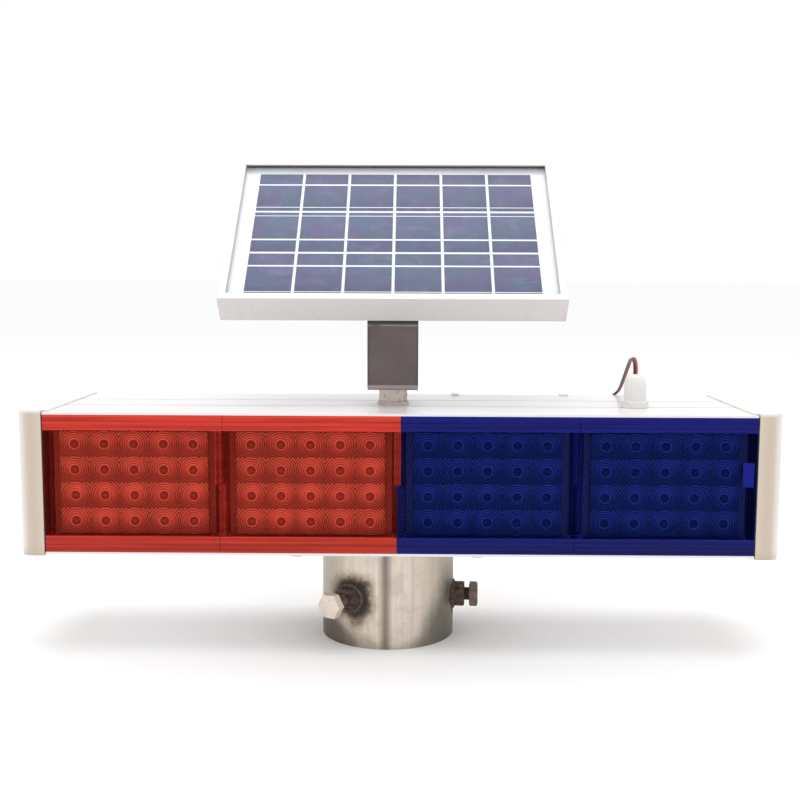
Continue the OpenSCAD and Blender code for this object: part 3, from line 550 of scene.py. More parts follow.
def cell_silicon(base):
    """Polycrystalline silicon: angular grains, blue to violet, with soft streaks of painted sheen."""
    p = Paint("cell_silicon")
    grain = p.node("ShaderNodeTexVoronoi", {},
                   {"Vector": p.stretched((1.0, 0.8, 0.8)), "Scale": 170.0}, "Color")
    tone = p.node("ShaderNodeSeparateColor", {}, {0: grain})
    # Streaks of painted sheen: lighter bands across the cells.
    streak = p.noise((38.0, 110.0, 110.0), 4.0, 0.6)
    hue = p.noise(21.0, 3.0, 0.6)
    body = p.toned(tone, base, 0.86, 1.14)
    bluish = p.mixed(0.55, body, (0.070, 0.120, 0.205))
    violet = p.mixed(0.55, body, (0.115, 0.085, 0.215))
    tinted = p.mixed(p.step(hue, 0.40, 0.62), bluish, violet)
    return p.solid({
        "Base Color": p.mixed(p.step(streak, 0.5, 0.75) * 0.45, tinted, (0.17, 0.18, 0.30)),
        "Roughness": 0.45 + tone * 0.12, "Specular IOR Level": 0.12,
    })


def silver_bar():
    p = Paint("silver_bar")
    grain = p.noise(700.0, 3.0)
    return p.solid({
        "Base Color": p.mixed(grain, (0.82, 0.83, 0.88), (0.93, 0.94, 0.97)),
        "Roughness": 0.5 + grain * 0.15,
    })


def panel_glass():
    p = Paint("panel_glass")
    dust = p.noise(90.0, 6.0, 0.7)
    slant = p.node("ShaderNodeLayerWeight", {}, {}, "Facing")
    film = p.shader({
        "Base Color": (0.86, 0.87, 0.90), "Metallic": 1.0, "Roughness": 0.22 + dust * 0.06,
    })
    amount = slant ** 4.0 * 0.38 + p.step(dust, 0.5, 0.8) * 0.03 + 0.012
    return p.clear(amount, (0.985, 0.99, 0.99), film)


def circuit_board():
    p = Paint("circuit_board")
    x, _, z = p.axes()
    track = ((x * 400.0).fraction() - 0.5).size() + ((z * 330.0 + x * 40.0).fraction() - 0.5).size()
    cloud = p.noise(300.0, 4.0)
    lines = p.step(track, 0.16, 0.22)
    mask = p.mixed(cloud, (0.01, 0.09, 0.03), (0.02, 0.15, 0.05))
    return p.solid({
        "Base Color": p.mixed(lines, (0.10, 0.30, 0.12), mask),
        "Roughness": 0.32 + cloud * 0.1, "Normal": p.relief(lines, 0.00003),
    })


def lead_jacket(name, base):
    p = Paint(name)
    tone = p.noise(120.0, 4.0)
    rub = p.noise(900.0, 3.0)
    return p.solid({
        "Base Color": p.mixed(p.step(tone, 0.45, 0.75) * 0.6, base, shade(base, 1.8)),
        "Roughness": 0.32 + tone * 0.2, "Normal": p.relief(rub, 0.00003),
    })


def bolt_steel():
    """Bright heads on one side, browned and pitted on the other."""
    p = Paint("bolt_steel")
    cloud = p.noise(220.0, 6.0, 0.65)
    brown = p.step(p.axes()[0], 10 * MM, 40 * MM)
    patches = p.step(cloud, 0.54, 0.74) * 0.4 + brown * p.step(cloud, 0.35, 0.55) * 0.5
    patches = patches.at_most(1.0)
    clean = p.mixed(brown, (0.74, 0.64, 0.55), (0.24, 0.175, 0.15))
    return p.solid({
        "Base Color": p.mixed(patches, clean, (0.11, 0.075, 0.055)),
        "Metallic": 0.5, "Roughness": 0.38 + patches * 0.3, "Normal": p.relief(cloud, 0.00006),
    })


# Finishes, made once each when a piece first asks for them

PLAIN = {
    "gasket_rubber": lambda: moulded("gasket_rubber", (0.02, 0.02, 0.022), rough=0.7),
    "zinc_steel": lambda: plated("zinc_steel", (0.60, 0.53, 0.48), (0.30, 0.22, 0.17)),
    "tray_plastic": lambda: moulded("tray_plastic", (0.16, 0.075, 0.05), rough=0.5),
    "circuit_board": circuit_board,
    "battery_wrap": lambda: moulded("battery_wrap", (0.03, 0.04, 0.06), rough=0.3),
    "black_plastic": lambda: moulded("black_plastic", (0.022, 0.022, 0.025), rough=0.45),
    "burnt_steel": lambda: plated("burnt_steel", (0.20, 0.145, 0.12), (0.03, 0.02, 0.016),
                                  0.55, 0.9, 260.0),
    "bolt_steel": bolt_steel,
    "bracket_steel": bracket_steel,
    "panel_glass": panel_glass,
    "backsheet_film": lambda: moulded("backsheet_film", (0.80, 0.81, 0.84), 0.00001, 0.3, 0.04),
    "white_nylon": lambda: moulded("white_nylon", (0.78, 0.77, 0.74), 0.00003, 0.4, 0.06),
}


MADE = {}


def finish(name):
    """The material of a finish, made the first time that it is asked for."""
    if name not in MADE:
        MADE[name] = PLAIN[name]()
    return MADE[name]


# Shapes

WELD_REACH = 0.002 * MM
FLAT_ANGLE = math.radians(0.5)
SHARP_ANGLE = math.radians(30.0)
HEX_HALF = math.radians(30)
CORNERS = ((-1, -1), (1, -1), (1, 1), (-1, 1))


def add_piece(name, mesh, materials):
    piece = bpy.data.objects.new(name, mesh)
    bpy.context.scene.collection.objects.link(piece)
    for material in materials:
        mesh.materials.append(material)
    mesh.shade_smooth()
    return piece


def lamp_nodes(kind):
    """Each lamp's node of a kind, with its side and whether the lamp is red."""
    return [(f"{kind}_{side}_{n}", side, n in RED_LAMPS) for side in SIDES for n in LAMPS]


def settle(piece, node):
    """The piece rides where its CAD node does and stands for it."""
    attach(piece, BODY_OF[node])
    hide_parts(node)
    return piece


def soften(piece, edge, segments=2):
    rounding = piece.modifiers.new("edges", "BEVEL")
    rounding.width = edge
    rounding.segments = segments
    rounding.limit_method = "ANGLE"
    rounding.angle_limit = SHARP_ANGLE
    rounding.harden_normals = True


def finished(node, edge, material=None, segments=2):
    """A node's own shape with its flat faces joined up and its edges rounded."""
    mesh = frame["nodes"][node].data.copy()
    mesh.name = node + "_shape"
    mesh.materials.clear()
    if "custom_normal" in mesh.attributes:
        mesh.attributes.remove(mesh.attributes["custom_normal"])
    shape = bmesh.new()
    shape.from_mesh(mesh)
    bmesh.ops.remove_doubles(shape, verts=shape.verts, dist=WELD_REACH)
    bmesh.ops.dissolve_limit(shape, angle_limit=FLAT_ANGLE, verts=shape.verts, edges=shape.edges)
    shape.to_mesh(mesh)
    shape.free()
    piece = add_piece(node + "_finished", mesh, [material or finish(SLOT_OF[node])])
    soften(piece, edge, segments)
    return settle(piece, node)


def mesh_of(name, shape, weld=0.001 * MM):
    """Turns a bmesh into a mesh, with points that coincide made one."""
    bmesh.ops.remove_doubles(shape, verts=shape.verts, dist=weld)
    bmesh.ops.recalc_face_normals(shape, faces=shape.faces)
    mesh = bpy.data.meshes.new(name)
    shape.to_mesh(mesh)
    shape.free()
    return mesh


def add_rings(shape, rings, closed_ends=True, index=0):
    """Joins rings of points, each the same number long, into a tube with ends."""
    rows = [[shape.verts.new(p) for p in ring] for ring in rings]
    for low, high in zip(rows, rows[1:]):
        for i in range(len(low)):
            j = (i + 1) % len(low)
            shape.faces.new((low[i], low[j], high[j], high[i])).material_index = index
    if closed_ends:
        shape.faces.new(rows[0][::-1]).material_index = index
        shape.faces.new(rows[-1]).material_index = index


def ring_of(radius_at, height, sides, place):
    """Points round an axis, each as far out as radius_at says for its number and its turn."""
    points = []
    for i in range(sides):
        turn = 2 * math.pi * i / sides
        r = radius_at(i, turn)
        points.append(place @ Vector((r * math.cos(turn), r * math.sin(turn), height)))
    return points


def round_ring(radius, height, sides, place, flutes=0, flute_depth=0.0):
    def radius_at(i, turn):
        return radius - flute_depth * (0.5 - 0.5 * math.cos(flutes * turn))

    return ring_of(radius_at, height, sides, place)


def hexagon_ring(flats, height, corner_cut, place, sides=36):
    """A hexagon of that width across flats, its corners cut by a circle of radius corner_cut."""
    def radius_at(i, turn):
        to_flat = HEX_HALF - abs(turn % (2 * HEX_HALF) - HEX_HALF)
        return min(flats / 2 / math.cos(HEX_HALF - to_flat), corner_cut)

    return ring_of(radius_at, height, sides, place)


def add_hexagon(shape, flats, low, high, place, chamfer_low=False):
    """A hexagonal head or nut with round chamfers."""
    corner = flats / 2 / math.cos(HEX_HALF)
    face = flats * 0.475
    rise = flats * 0.045
    rings = [hexagon_ring(flats, low, corner, place)]
    if chamfer_low:
        rings = [hexagon_ring(flats, low, face, place),
                 hexagon_ring(flats, low + rise, corner, place)]
    for share in (0.0, 0.5, 1.0):
        cut = corner - (corner - face) * share
        rings.append(hexagon_ring(flats, high - rise * (1 - share), cut, place))
    add_rings(shape, rings)


def add_thread(shape, radius, depth, pitch, low, high, place, index, sides=32, rings_a_turn=5):
    """A rod with a screw thread that fades out at its ends."""
    steps = int((high - low) / pitch * rings_a_turn) + 1
    rings = []
    for step in range(steps + 1):
        height = low + (high - low) * step / steps
        fade = min(1.0, (height - low) / pitch, (high - height) / pitch)

        def radius_at(i, turn):
            wave = abs(((height / pitch - i / sides) % 1.0) * 2 - 1)
            return radius - depth * fade * wave - depth * 0.5 * (1 - fade)

        rings.append(ring_of(radius_at, height, sides, place))
    add_rings(shape, rings, index=index)


def smooth_route(route, steps=4):
    """Points in metres on a smooth curve through a route's own points."""
    points = [Vector((x, y, z)) * MM + Vector((0, 0, RAIL_TOP)) for x, y, z in route]
    last = len(points) - 1
    curve = []
    for i in range(last):
        a, b = points[max(i - 1, 0)], points[i]
        c, d = points[i + 1], points[min(i + 2, last)]
        for k in range(steps):
            t = k / steps
            curve.append(0.5 * (2 * b + (c - a) * t + (2 * a - 5 * b + 4 * c - d) * t ** 2
                                + (3 * b - a - 3 * c + d) * t ** 3))
    return curve + [points[last]]


def carried_along(path):
    """For each point of a path its heading and a sideways direction that doesn't twist."""
    side = Vector((1, 0.2, 0))
    frames = []
    for i in range(len(path)):
        heading = (path[min(i + 1, len(path) - 1)] - path[max(i - 1, 0)]).normalized()
        side = (side - side.dot(heading) * heading).normalized()
        frames.append((heading, side))
    return frames


def screw_place(node):
    """A matrix whose Z runs outwards along a set screw, with the heights of its tip and head."""
    joint = next(j for j in frame["joints"] if j["child"] == node)
    axis = Vector(joint["axis"]).normalized()
    low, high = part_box(node)
    centre = Vector((0, 0, (low.z + high.z) / 2))
    side = Vector((0, 0, 1)).cross(axis)
    rows = Matrix((side, Vector((0, 0, 1)), axis)).transposed().to_4x4()
    along = [v.co.dot(axis) for v in frame["nodes"][node].data.vertices]
    return Matrix.Translation(centre) @ rows, min(along), max(along)


def wall_point(node):
    """Where a set screw's axis comes out of the sleeve's wall."""
    return screw_place(node)[0] @ Vector((0, 0, sleeve_radius()))


def sleeve_radius():
    vertices = frame["nodes"]["pole_sleeve"].data.vertices
    return max(v.co.xy.length for v in vertices if v.co.z < 1 * MM)


def panel_place():
    """The matrix of the panel's own frame: X across, Y up the slope, Z out of its face, origin at
    the middle of its lower top edge, with the panel's width and length."""
    glass = frame["nodes"]["panel_glass"].data
    normal = max(glass.polygons, key=lambda face: face.area).normal
    normal = normal if normal.z > 0 else -normal
    tilt = math.atan2(-normal.y, normal.z)
    low = Vector(map(min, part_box("frame_lower")[0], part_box("frame_left")[0]))
    high = Vector(map(max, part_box("frame_upper")[1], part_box("frame_right")[1]))
    rise, reach = high.z - low.z, high.y - low.y
    sine, cosine = math.sin(tilt), math.cos(tilt)
    depth = (rise * cosine - reach * sine) / (cosine ** 2 - sine ** 2)
    slope = (rise - depth * cosine) / sine
    origin = Vector(((low.x + high.x) / 2, low.y, low.z + depth * cosine))
    return Matrix.Translation(origin) @ Matrix.Rotation(tilt, 4, "X"), high.x - low.x, slope


# Operators, one for each piece or group of like pieces

class PieceOperator(bpy.types.Operator):
    """Builds pieces of the warning light"""

    bl_options = {"REGISTER", "UNDO"}
    roundings = {}

    def execute(self, context):
        self.build(context.scene.warning_light)
        return {"FINISHED"}

    def build(self, settings):
        """Rounds the edges of the listed nodes, each by its millimetres and segments."""
        for node, (edge, segments) in self.roundings.items():
            finished(node, edge * MM, segments=segments)


class WARNLIGHT_OT_rails(PieceOperator):
    """Builds the painted top and bottom rails"""

    bl_idname = "warning_light.rails"
    bl_label = "Rails"

    def build(self, settings):
        paint = rail_paint(tuple(settings.housing.rail_colour))
        for node in ("top_rail", "bottom_rail"):
            finished(node, settings.housing.rail_edge, paint)


class WARNLIGHT_OT_end_caps(PieceOperator):
    """Builds the end caps with their gaskets and screws"""

    bl_idname = "warning_light.end_caps"
    bl_label = "End caps"

    def build(self, settings):
        plastic = cap_plastic(tuple(settings.housing.cap_colour))
        for side in ("left", "right"):
            finished("end_cap_" + side, settings.housing.cap_edge, plastic, 3)
            finished("gasket_" + side, 0.15 * MM)
        finished("end_cap_screws", 0.3 * MM)


class WARNLIGHT_OT_covers(PieceOperator):
    """Builds the clear red and blue covers"""

    bl_idname = "warning_light.covers"
    bl_label = "Covers"

    def build(self, settings):
        lamps = settings.lamps
        red = cover_plastic("red_cover", tuple(lamps.red), (0.96, 0.65, 0.61))
        blue = cover_plastic("blue_cover", tuple(lamps.blue), (0.50, 0.62, 0.945))
        for node, _, is_red in lamp_nodes("cover"):
            finished(node, lamps.cover_edge, red if is_red else blue)


class WARNLIGHT_OT_lens_plates(PieceOperator):
    """Builds the ringed lens plates"""

    bl_idname = "warning_light.lens_plates"
    bl_label = "Lens plates"

    def build(self, settings):
        lamps = settings.lamps
        low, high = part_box("lens_plate_front_1")
        size = high - low
        cell = (size.x / lamps.columns, size.z / lamps.rows)
        red = lens_plastic("red_lens", lamps, cell,
                           (0.17, 0.075, 0.05), (0.46, 0.19, 0.15), (0.95, 0.72, 0.60))
        blue = lens_plastic("blue_lens", lamps, cell,
                            (0.02, 0.03, 0.035), (0.05, 0.045, 0.11), (0.34, 0.27, 0.30))
        plates = {name: self.plate(name, size, cell, lamps) for name in ("red_plate", "blue_plate")}
        for node, side, is_red in lamp_nodes("lens_plate"):
            low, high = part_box(node)
            mesh = plates["red_plate" if is_red else "blue_plate"]
            piece = add_piece(node + "_finished", mesh, [red if is_red else blue])
            piece.location = (low + high) / 2
            piece.rotation_euler.z = 0.0 if side == "front" else math.pi
            settle(piece, node)

    def profile(self, radius, lamps, crest=0.62):
        """How far a lens stands out of its plate at a radius."""
        if radius < lamps.eye_radius:
            return lamps.eye_height * math.cos(radius / lamps.eye_radius * math.pi / 2)
        phase = ((radius - lamps.eye_radius) / lamps.ring_pitch) % 1.0
        share = phase / crest if phase < crest else (1 - phase) / (1 - crest)
        return lamps.ring_height * math.sin(share * math.pi / 2)

    def plate(self, name, size, cell, lamps, per_side=10):
        shape = bmesh.new()
        face_y = -size.y / 2 + max(lamps.eye_height, lamps.ring_height)
        half = (cell[0] / 2, cell[1] / 2)
        rim = []
        for a, b in zip(CORNERS, CORNERS[1:] + CORNERS[:1]):
            for k in range(per_side):
                t = k / per_side
                rim.append(tuple((a[i] + (b[i] - a[i]) * t) * half[i] for i in (0, 1)))
        radii = [lamps.eye_radius * share for share in (0.3, 0.6, 0.85)]
        radius = lamps.eye_radius
        while radius < math.hypot(*half):
            radii += [radius + lamps.ring_pitch * share for share in (0.0, 0.31, 0.62, 0.85)]
            radius += lamps.ring_pitch
        for column in range(lamps.columns):
            for row in range(lamps.rows):
                cx = (column - (lamps.columns - 1) / 2) * cell[0]
                cz = (row - (lamps.rows - 1) / 2) * cell[1]
                self.add_cell(shape, cx, cz, face_y, rim, radii, lamps)
        bmesh.ops.remove_doubles(shape, verts=shape.verts, dist=0.005 * MM)
        edges = [e for e in shape.edges if len(e.link_faces) == 1]
        skirt = bmesh.ops.extrude_edge_only(shape, edges=edges)["geom"]
        for vert in [v for v in skirt if isinstance(v, bmesh.types.BMVert)]:
            vert.co.y = size.y / 2
        edges = [e for e in shape.edges if len(e.link_faces) == 1]
        bmesh.ops.holes_fill(shape, edges=edges, sides=0)
        return mesh_of(name, shape)

    def add_cell(self, shape, cx, cz, face_y, rim, radii, lamps):
        def point(direction, radius, limit):
            r = min(radius, limit)
            y = face_y - self.profile(r, lamps)
            return shape.verts.new((cx + direction[0] * r, y, cz + direction[1] * r))

        limits = [math.hypot(*p) for p in rim]
        directions = [(p[0] / d, p[1] / d) for p, d in zip(rim, limits)]
        centre = shape.verts.new((cx, face_y - lamps.eye_height, cz))
        rows = [[point(d, r, limit) for d, limit in zip(directions, limits)] for r in radii]
        count = len(rim)
        for i in range(count):
            shape.faces.new((centre, rows[0][i], rows[0][(i + 1) % count]))
        for low, high in zip(rows, rows[1:]):
            for i in range(count):
                j = (i + 1) % count
                shape.faces.new((low[i], high[i], high[j], low[j]))


class WARNLIGHT_OT_lamp_trays(PieceOperator):
    """Builds the dark trays and the boards behind the lenses"""

    bl_idname = "warning_light.lamp_trays"
    bl_label = "Lamp trays"

    def build(self, settings):
        for side in SIDES:
            for n in LAMPS:
                finished(f"lamp_tray_{side}_{n}", 0.25 * MM)
            finished("led_boards_" + side, 0.15 * MM)
        self.links()

    def links(self, reach=15 * MM, thick=1.5 * MM, lip=3 * MM, behind=2 * MM, inset=1 * MM):
        """Folded strips that join each tray to the next and close the gaps between them."""
        inner = reach - thick
        outline = ((-reach, lip), (-reach, 0), (reach, 0), (reach, lip),
                   (inner, lip), (inner, thick), (-inner, thick), (-inner, lip))
        for side in SIDES:
            front = side == "front"
            for n in LAMPS[:-1]:
                low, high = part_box(f"lamp_tray_{side}_{n}")
                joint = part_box(f"cover_{side}_{n}")[1 if front else 0].x
                way = 1 if front else -1
                y = (high.y if front else low.y) + way * (behind + thick)
                shape = bmesh.new()
                add_rings(shape, [[Vector((joint + u, y + way * v, z)) for u, v in outline]
                                  for z in (low.z + inset, high.z - inset)])
                piece = add_piece(f"tray_link_{side}_{n}", mesh_of("tray_link", shape),
                                  [finish("tray_plastic")])
                soften(piece, 0.3 * MM)
                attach(piece, BODY_OF["battery"])


class WARNLIGHT_OT_inside(PieceOperator):
    """Builds the battery, its strap and the controller"""

    bl_idname = "warning_light.inside"
    bl_label = "Inside"
    roundings = {"battery": (2.0, 3), "battery_strap": (0.2, 2), "controller_board": (0.2, 2)}


class WARNLIGHT_OT_switch(PieceOperator):
    """Builds the rocker switch under the housing"""

    bl_idname = "warning_light.switch"
    bl_label = "Switch"
    roundings = {"switch_body": (0.3, 2), "switch_rocker": (0.3, 2)}


class WARNLIGHT_OT_sleeve(PieceOperator):
    """Builds the pole sleeve, its weld nuts, weld beads and flange bolts"""

    bl_idname = "warning_light.sleeve"
    bl_label = "Pole sleeve"

    def build(self, settings):
        finished("pole_sleeve", settings.sleeve.edge, sleeve_steel(settings.sleeve))
        finished("weld_nuts", 0.5 * MM)
        finished("flange_fasteners", 0.3 * MM)
        for name in POLE_SCREWS:
            self.bead(name, settings.sleeve.bead_radius)

    def bead(self, name, radius, turns=56, sides=10, ring_radius=10.6 * MM, sunk=0.3 * MM,
             lumpiness=0.22, ripples=17, ripple_share=0.10, flatness=0.8):
        """A lumpy ring of weld round a nut's foot, lying on the sleeve's round wall."""
        place = screw_place(name)[0]
        wall = sleeve_radius()
        shape = bmesh.new()
        rings = []
        for i in range(turns):
            angle = 2 * math.pi * i / turns
            at = Vector((math.cos(angle) * 3, math.sin(angle) * 3, wall * 90))
            lump = 1 + lumpiness * noise.noise(at)
            ripple = 1 + ripple_share * math.cos(angle * ripples)
            outward = Vector((math.cos(angle), math.sin(angle), 0))
            foot = outward * ring_radius
            foot.z = math.sqrt(wall ** 2 - foot.x ** 2) - sunk
            r = radius * lump * ripple
            ring = []
            for k in range(sides):
                turn = 2 * math.pi * k / sides
                height = Vector((0, 0, r * flatness * math.sin(turn)))
                ring.append(place @ (foot + outward * (r * math.cos(turn)) + height))
            rings.append(ring)
        rings.append(rings[0])
        add_rings(shape, rings, closed_ends=False)
        mesh = mesh_of(name + "_bead", shape, weld=0.01 * MM)
        piece = add_piece(name.replace("set_screw", "weld_bead"), mesh, [finish("burnt_steel")])
        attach(piece, BODY_OF["weld_nuts"])


class WARNLIGHT_OT_set_screws(PieceOperator):
    """Builds the three threaded set screws"""

    bl_idname = "warning_light.set_screws"
    bl_label = "Set screws"

    def build(self, settings):
        sleeve = settings.sleeve
        flats, head, radius, collar = 19 * MM, 7.5 * MM, 6 * MM, 0.4 * MM
        for name in POLE_SCREWS:
            place, tip, top = screw_place(name)
            neck = top - head
            shape = bmesh.new()
            add_hexagon(shape, flats, neck + collar, top, place)
            add_rings(shape, [round_ring(flats * 0.46, z, 36, place)
                              for z in (neck, neck + collar)])
            add_thread(shape, radius, sleeve.thread_depth, sleeve.thread_pitch, tip, neck, place, 1)
            piece = add_piece(name + "_finished", mesh_of(name + "_shape", shape),
                              [finish("bolt_steel"), finish("burnt_steel")])
            piece.data.set_sharp_from_angle(angle=math.radians(28))
            settle(piece, name)


class WARNLIGHT_OT_swivel(PieceOperator):
    """Builds the swivel bolt with its nuts and washers"""

    bl_idname = "warning_light.swivel"
    bl_label = "Swivel"
    roundings = {"swivel_bolt": (0.3, 2), "swivel_nuts": (0.45, 3)}


class WARNLIGHT_OT_bracket(PieceOperator):
    """Builds the bent bracket"""

    bl_idname = "warning_light.bracket"
    bl_label = "Bracket"
    roundings = {"bracket": (0.5, 2)}


class WARNLIGHT_OT_panel_frame(PieceOperator):
    """Builds the solar panel's mitred frame and its screws"""

    bl_idname = "warning_light.panel_frame"
    bl_label = "Panel frame"

    def build(self, settings):
        metal = frame_aluminium(tuple(settings.panel.aluminium))
        for side in ("lower", "upper", "left", "right"):
            finished("frame_" + side, settings.panel.frame_edge, metal)
        finished("panel_screws", 0.3 * MM)


class WARNLIGHT_OT_panel_layers(PieceOperator):
    """Builds the panel's glass, cells, bus bars and backsheet"""

    bl_idname = "warning_light.panel_layers"
    bl_label = "Panel layers"

    def build(self, settings):
        finished("panel_glass", 0.1 * MM)
        finished("backsheet", 0.1 * MM)
        self.cells(settings.panel)
        self.dark_strip()

    def dark_strip(self, inset=8 * MM, thick=0.9 * MM, low=-1.6 * MM, high=-0.7 * MM):
        """A dark strip under the upper frame length's lip, darkening the line along it."""
        place, width, slope = panel_place()
        shape = bmesh.new()
        y = slope - inset - thick / 2
        self.slab(shape, place, 0.0, y, width - 2 * inset, thick, low, high, 0)
        piece = add_piece("panel_dark_strip", mesh_of("panel_dark_strip", shape), [finish("gasket_rubber")])
        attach(piece, BODY_OF["panel_glass"])

    def cells(self, panel, columns=6, rows=3, bottom=-5.1 * MM, thick=0.15 * MM, bar=0.08 * MM):
        """Cells with a wide and a narrow bus bar each, mirrored from one row to the next."""
        place, _, slope = panel_place()
        shape = bmesh.new()
        top = bottom + thick
        pitch_x = panel.cell_width + panel.cell_gap
        pitch_y = panel.cell_length + panel.cell_gap
        middle = slope / 2 + panel.cell_offset
        for column in range(columns):
            for row in range(rows):
                x = (column - (columns - 1) / 2) * pitch_x
                y = middle + (row - (rows - 1) / 2) * pitch_y
                self.slab(shape, place, x, y, panel.cell_width, panel.cell_length, bottom, top, 0)
        field = columns * pitch_x - panel.cell_gap
        for row in range(rows):
            y = middle + (row - (rows - 1) / 2) * pitch_y
            way = -1 if row % 2 else 1
            for share, wide in ((0.2, 1.0), (-0.41, 0.45)):
                self.slab(shape, place, 0.0, y + way * share * panel.cell_length, field,
                          panel.bar_width * wide, top, top + bar, 1)
        mesh = mesh_of("solar_cells_shape", shape, weld=0.0)
        materials = [cell_silicon(tuple(panel.silicon)), silver_bar()]
        settle(add_piece("solar_cells_finished", mesh, materials), "solar_cells")

    def slab(self, shape, place, x, y, width, depth, low, high, index, chamfer=0.03 * MM):
        rings = []
        for inset, z in ((0.0, low), (0.0, high - chamfer), (chamfer, high)):
            w, d = width / 2 - inset, depth / 2 - inset
            rings.append([place @ Vector((x + sx * w, y + sy * d, z)) for sx, sy in CORNERS])
        add_rings(shape, rings, index=index)


class WARNLIGHT_OT_junction_box(PieceOperator):
    """Builds the junction box behind the panel"""

    bl_idname = "warning_light.junction_box"
    bl_label = "Junction box"
    roundings = {"junction_box": (0.6, 3)}


class WARNLIGHT_OT_gland(PieceOperator):
    """Builds the fluted cable gland"""

    bl_idname = "warning_light.gland"
    bl_label = "Cable gland"
    # Radius, height and flute depth in millimetres
    flange = ((11.0, 0.0), (11.4, 0.3), (11.4, 1.3), (11.0, 1.6))
    dome = ((9.0, 6.0, 0.0), (9.4, 6.6, 0.5), (9.4, 10.0, 0.8), (9.3, 17.0, 0.8),
            (9.0, 20.0, 0.8), (8.3, 23.0, 0.6), (7.0, 25.6, 0.4), (5.2, 27.3, 0.1),
            (3.6, 27.9, 0.0), (3.0, 28.0, 0.0))

    def build(self, settings):
        low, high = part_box("cable_gland")
        place = Matrix.Translation(((low.x + high.x) / 2, (low.y + high.y) / 2, RAIL_TOP))
        flats, stem = 20 * MM, 7.6 * MM
        flutes = settings.lead.flute_count
        shape = bmesh.new()
        add_rings(shape, [round_ring(stem, z, 48, place) for z in (low.z - RAIL_TOP, 1.0 * MM)])
        add_rings(shape, [round_ring(r * MM, z * MM, 72, place) for r, z in self.flange])
        add_hexagon(shape, flats, 1.4 * MM, 6 * MM, place)
        add_rings(shape, [round_ring(r * MM, z * MM, flutes * 6, place, flutes, cut * MM)
                          for r, z, cut in self.dome])
        add_hexagon(shape, flats, -6 * MM, -2 * MM, place, chamfer_low=True)
        mesh = mesh_of("cable_gland_shape", shape)
        piece = add_piece("cable_gland_finished", mesh, [finish("white_nylon")])
        piece.data.set_sharp_from_angle(angle=math.radians(35))
        settle(piece, "cable_gland")


class WARNLIGHT_OT_lead(PieceOperator):
    """Builds the twin lead from the panel to the gland, and its clips"""

    bl_idname = "warning_light.lead"
    bl_label = "Lead"

    def build(self, settings):
        finished("lead_clips", 0.3 * MM)
        radius = settings.lead.core_radius
        twist_low, twist_rise = 2.3 * MM, 66 * MM
        jackets = [lead_jacket("lead_red", (0.42, 0.05, 0.04)),
                   lead_jacket("lead_black", (0.03, 0.026, 0.026))]
        lower = self.cores("housing_lead", smooth_route(LOWER_ROUTE), radius, jackets)
        settle(lower, "housing_lead")
        path = smooth_route(UPPER_ROUTE)
        upper = self.cores("panel_lead", path, radius, jackets)
        start = path[-1] + Vector((0, 0, twist_low))
        tuple(start + Vector((0, 0, twist_rise)))
        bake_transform(upper)
        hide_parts("panel_lead")

    def cores(self, node, path, radius, jackets, sides=14):
        """Two cores side by side along a path, just touching."""
        shape = bmesh.new()
        frames = carried_along(path)
        for index, way in enumerate((-1, 1)):
            rings = []
            for point, (heading, side) in zip(path, frames):
                up = heading.cross(side)
                centre = point + side * (way * radius * 0.98)
                rings.append([centre + radius * (math.cos(a) * side + math.sin(a) * up)
                              for a in (2 * math.pi * k / sides for k in range(sides))])
            add_rings(shape, rings, index=index)
        return add_piece(node + "_finished", mesh_of(node + "_shape", shape, weld=0.0), jackets)


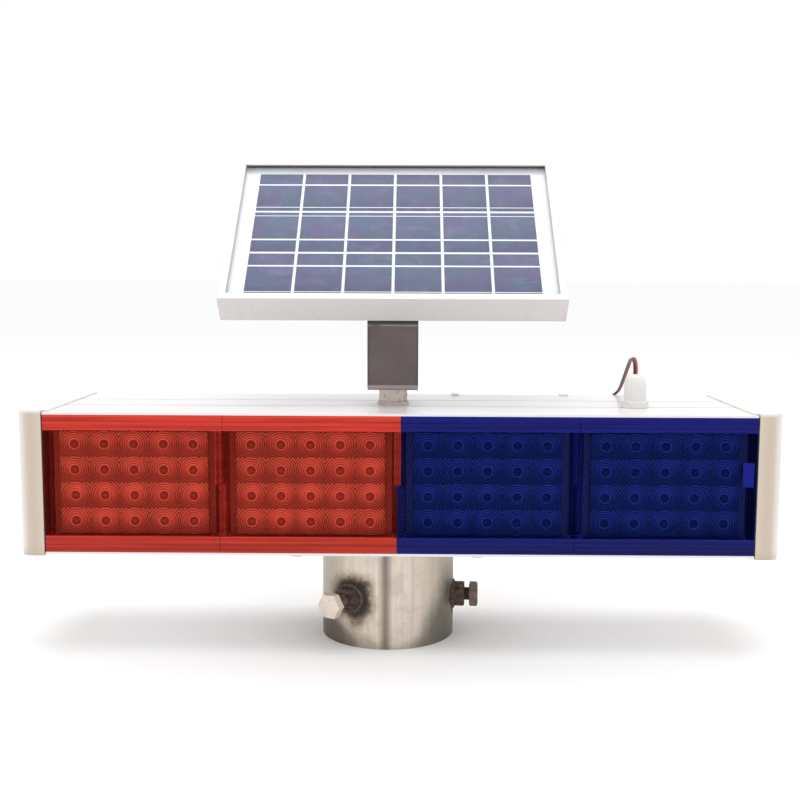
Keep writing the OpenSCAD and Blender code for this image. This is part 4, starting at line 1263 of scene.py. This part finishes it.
class WARNLIGHT_OT_stage(PieceOperator):
    """Builds the floor, lights and camera"""

    bl_idname = "warning_light.stage"
    bl_label = "Stage"

    def build(self, settings):
        self.floor(tuple(settings.stage.floor_colour))
        self.sky(settings.stage.sky)
        self.top_light(settings.stage.top_power)
        self.camera()

    def floor(self, base, reach=60.0, gap=0.2 * MM):
        p = Paint("floor")
        cloud = p.noise(1.5, 3.0)
        material = p.solid({
            "Base Color": p.toned(cloud, base, 0.995, 1.005), "Roughness": 0.9,
        })
        mesh = bpy.data.meshes.new("floor")
        mesh.from_pydata([(x * reach, y * reach, -gap) for x, y in CORNERS], [], [(0, 1, 2, 3)])
        add_piece("floor", mesh, [material])

    def sky(self, brightness):
        world = bpy.data.worlds.new("studio")
        world.use_nodes = True
        bpy.context.scene.world = world
        background = world.node_tree.nodes["Background"]
        background.inputs["Color"].default_value = (1.0, 1.0, 1.0, 1.0)
        background.inputs["Strength"].default_value = brightness

    def top_light(self, power, size=2.0, place=(0.0, 0.25, 1.9), aim=(0.0, 0.1, 0.0)):
        lamp = bpy.data.lights.new("top_light", "AREA")
        lamp.energy = power
        lamp.size = size
        light = bpy.data.objects.new("top_light", lamp)
        bpy.context.scene.collection.objects.link(light)
        light.location = place
        light.rotation_mode = "QUATERNION"
        light.rotation_quaternion = (Vector(aim) - Vector(place)).to_track_quat("-Z", "Y")

    def camera(self, place=(20.4, -960.7, 309.7), pan=0.63, drop=6.35, roll=0.21):
        """Stands the camera at that place in millimetres, turned by those degrees."""
        scene = bpy.context.scene
        scene.view_settings.view_transform = "Standard"
        lens = bpy.data.cameras.new("camera")
        lens.lens = 50.4
        lens.sensor_width = 36.0
        camera = bpy.data.objects.new("camera", lens)
        scene.collection.objects.link(camera)
        turn = Matrix.Identity(4)
        for degrees, axis in ((pan, "Z"), (90 - drop, "X"), (roll, "Z")):
            turn = turn @ Matrix.Rotation(math.radians(degrees), 4, axis)
        camera.matrix_world = Matrix.Translation([part * MM for part in place]) @ turn
        scene.camera = camera


STEPS = ("stage", "rails", "end_caps", "covers", "lens_plates", "lamp_trays", "inside", "switch",
         "sleeve", "set_screws", "swivel", "bracket", "panel_frame", "panel_layers", "junction_box",
         "gland", "lead")


class WARNLIGHT_PT_pieces(bpy.types.Panel):
    """Lists the pieces and their settings"""

    bl_idname = "WARNLIGHT_PT_pieces"
    bl_label = "Warning light"
    bl_space_type = "VIEW_3D"
    bl_region_type = "UI"
    bl_category = "Warning light"

    def draw(self, context):
        for step in STEPS:
            self.layout.operator("warning_light." + step)
        for group in ("housing", "lamps", "sleeve", "panel", "lead", "stage"):
            box = self.layout.box()
            values = getattr(context.scene.warning_light, group)
            for name in values.bl_rna.properties.keys():
                if name not in ("rna_type", "name"):
                    box.prop(values, name)


CLASSES = (
    HousingSettings, LampSettings, SleeveSettings, PanelSettings, LeadSettings, StageSettings,
    WarningLightSettings, *PieceOperator.__subclasses__(), WARNLIGHT_PT_pieces,
)


def register():
    for cls in CLASSES:
        bpy.utils.register_class(cls)
    bpy.types.Scene.warning_light = PointerProperty(type=WarningLightSettings)


def unregister():
    del bpy.types.Scene.warning_light
    for cls in reversed(CLASSES):
        bpy.utils.unregister_class(cls)


def main():
    register()
    for step in STEPS:
        getattr(bpy.ops.warning_light, step)()


if __name__ == "__main__":
    main()
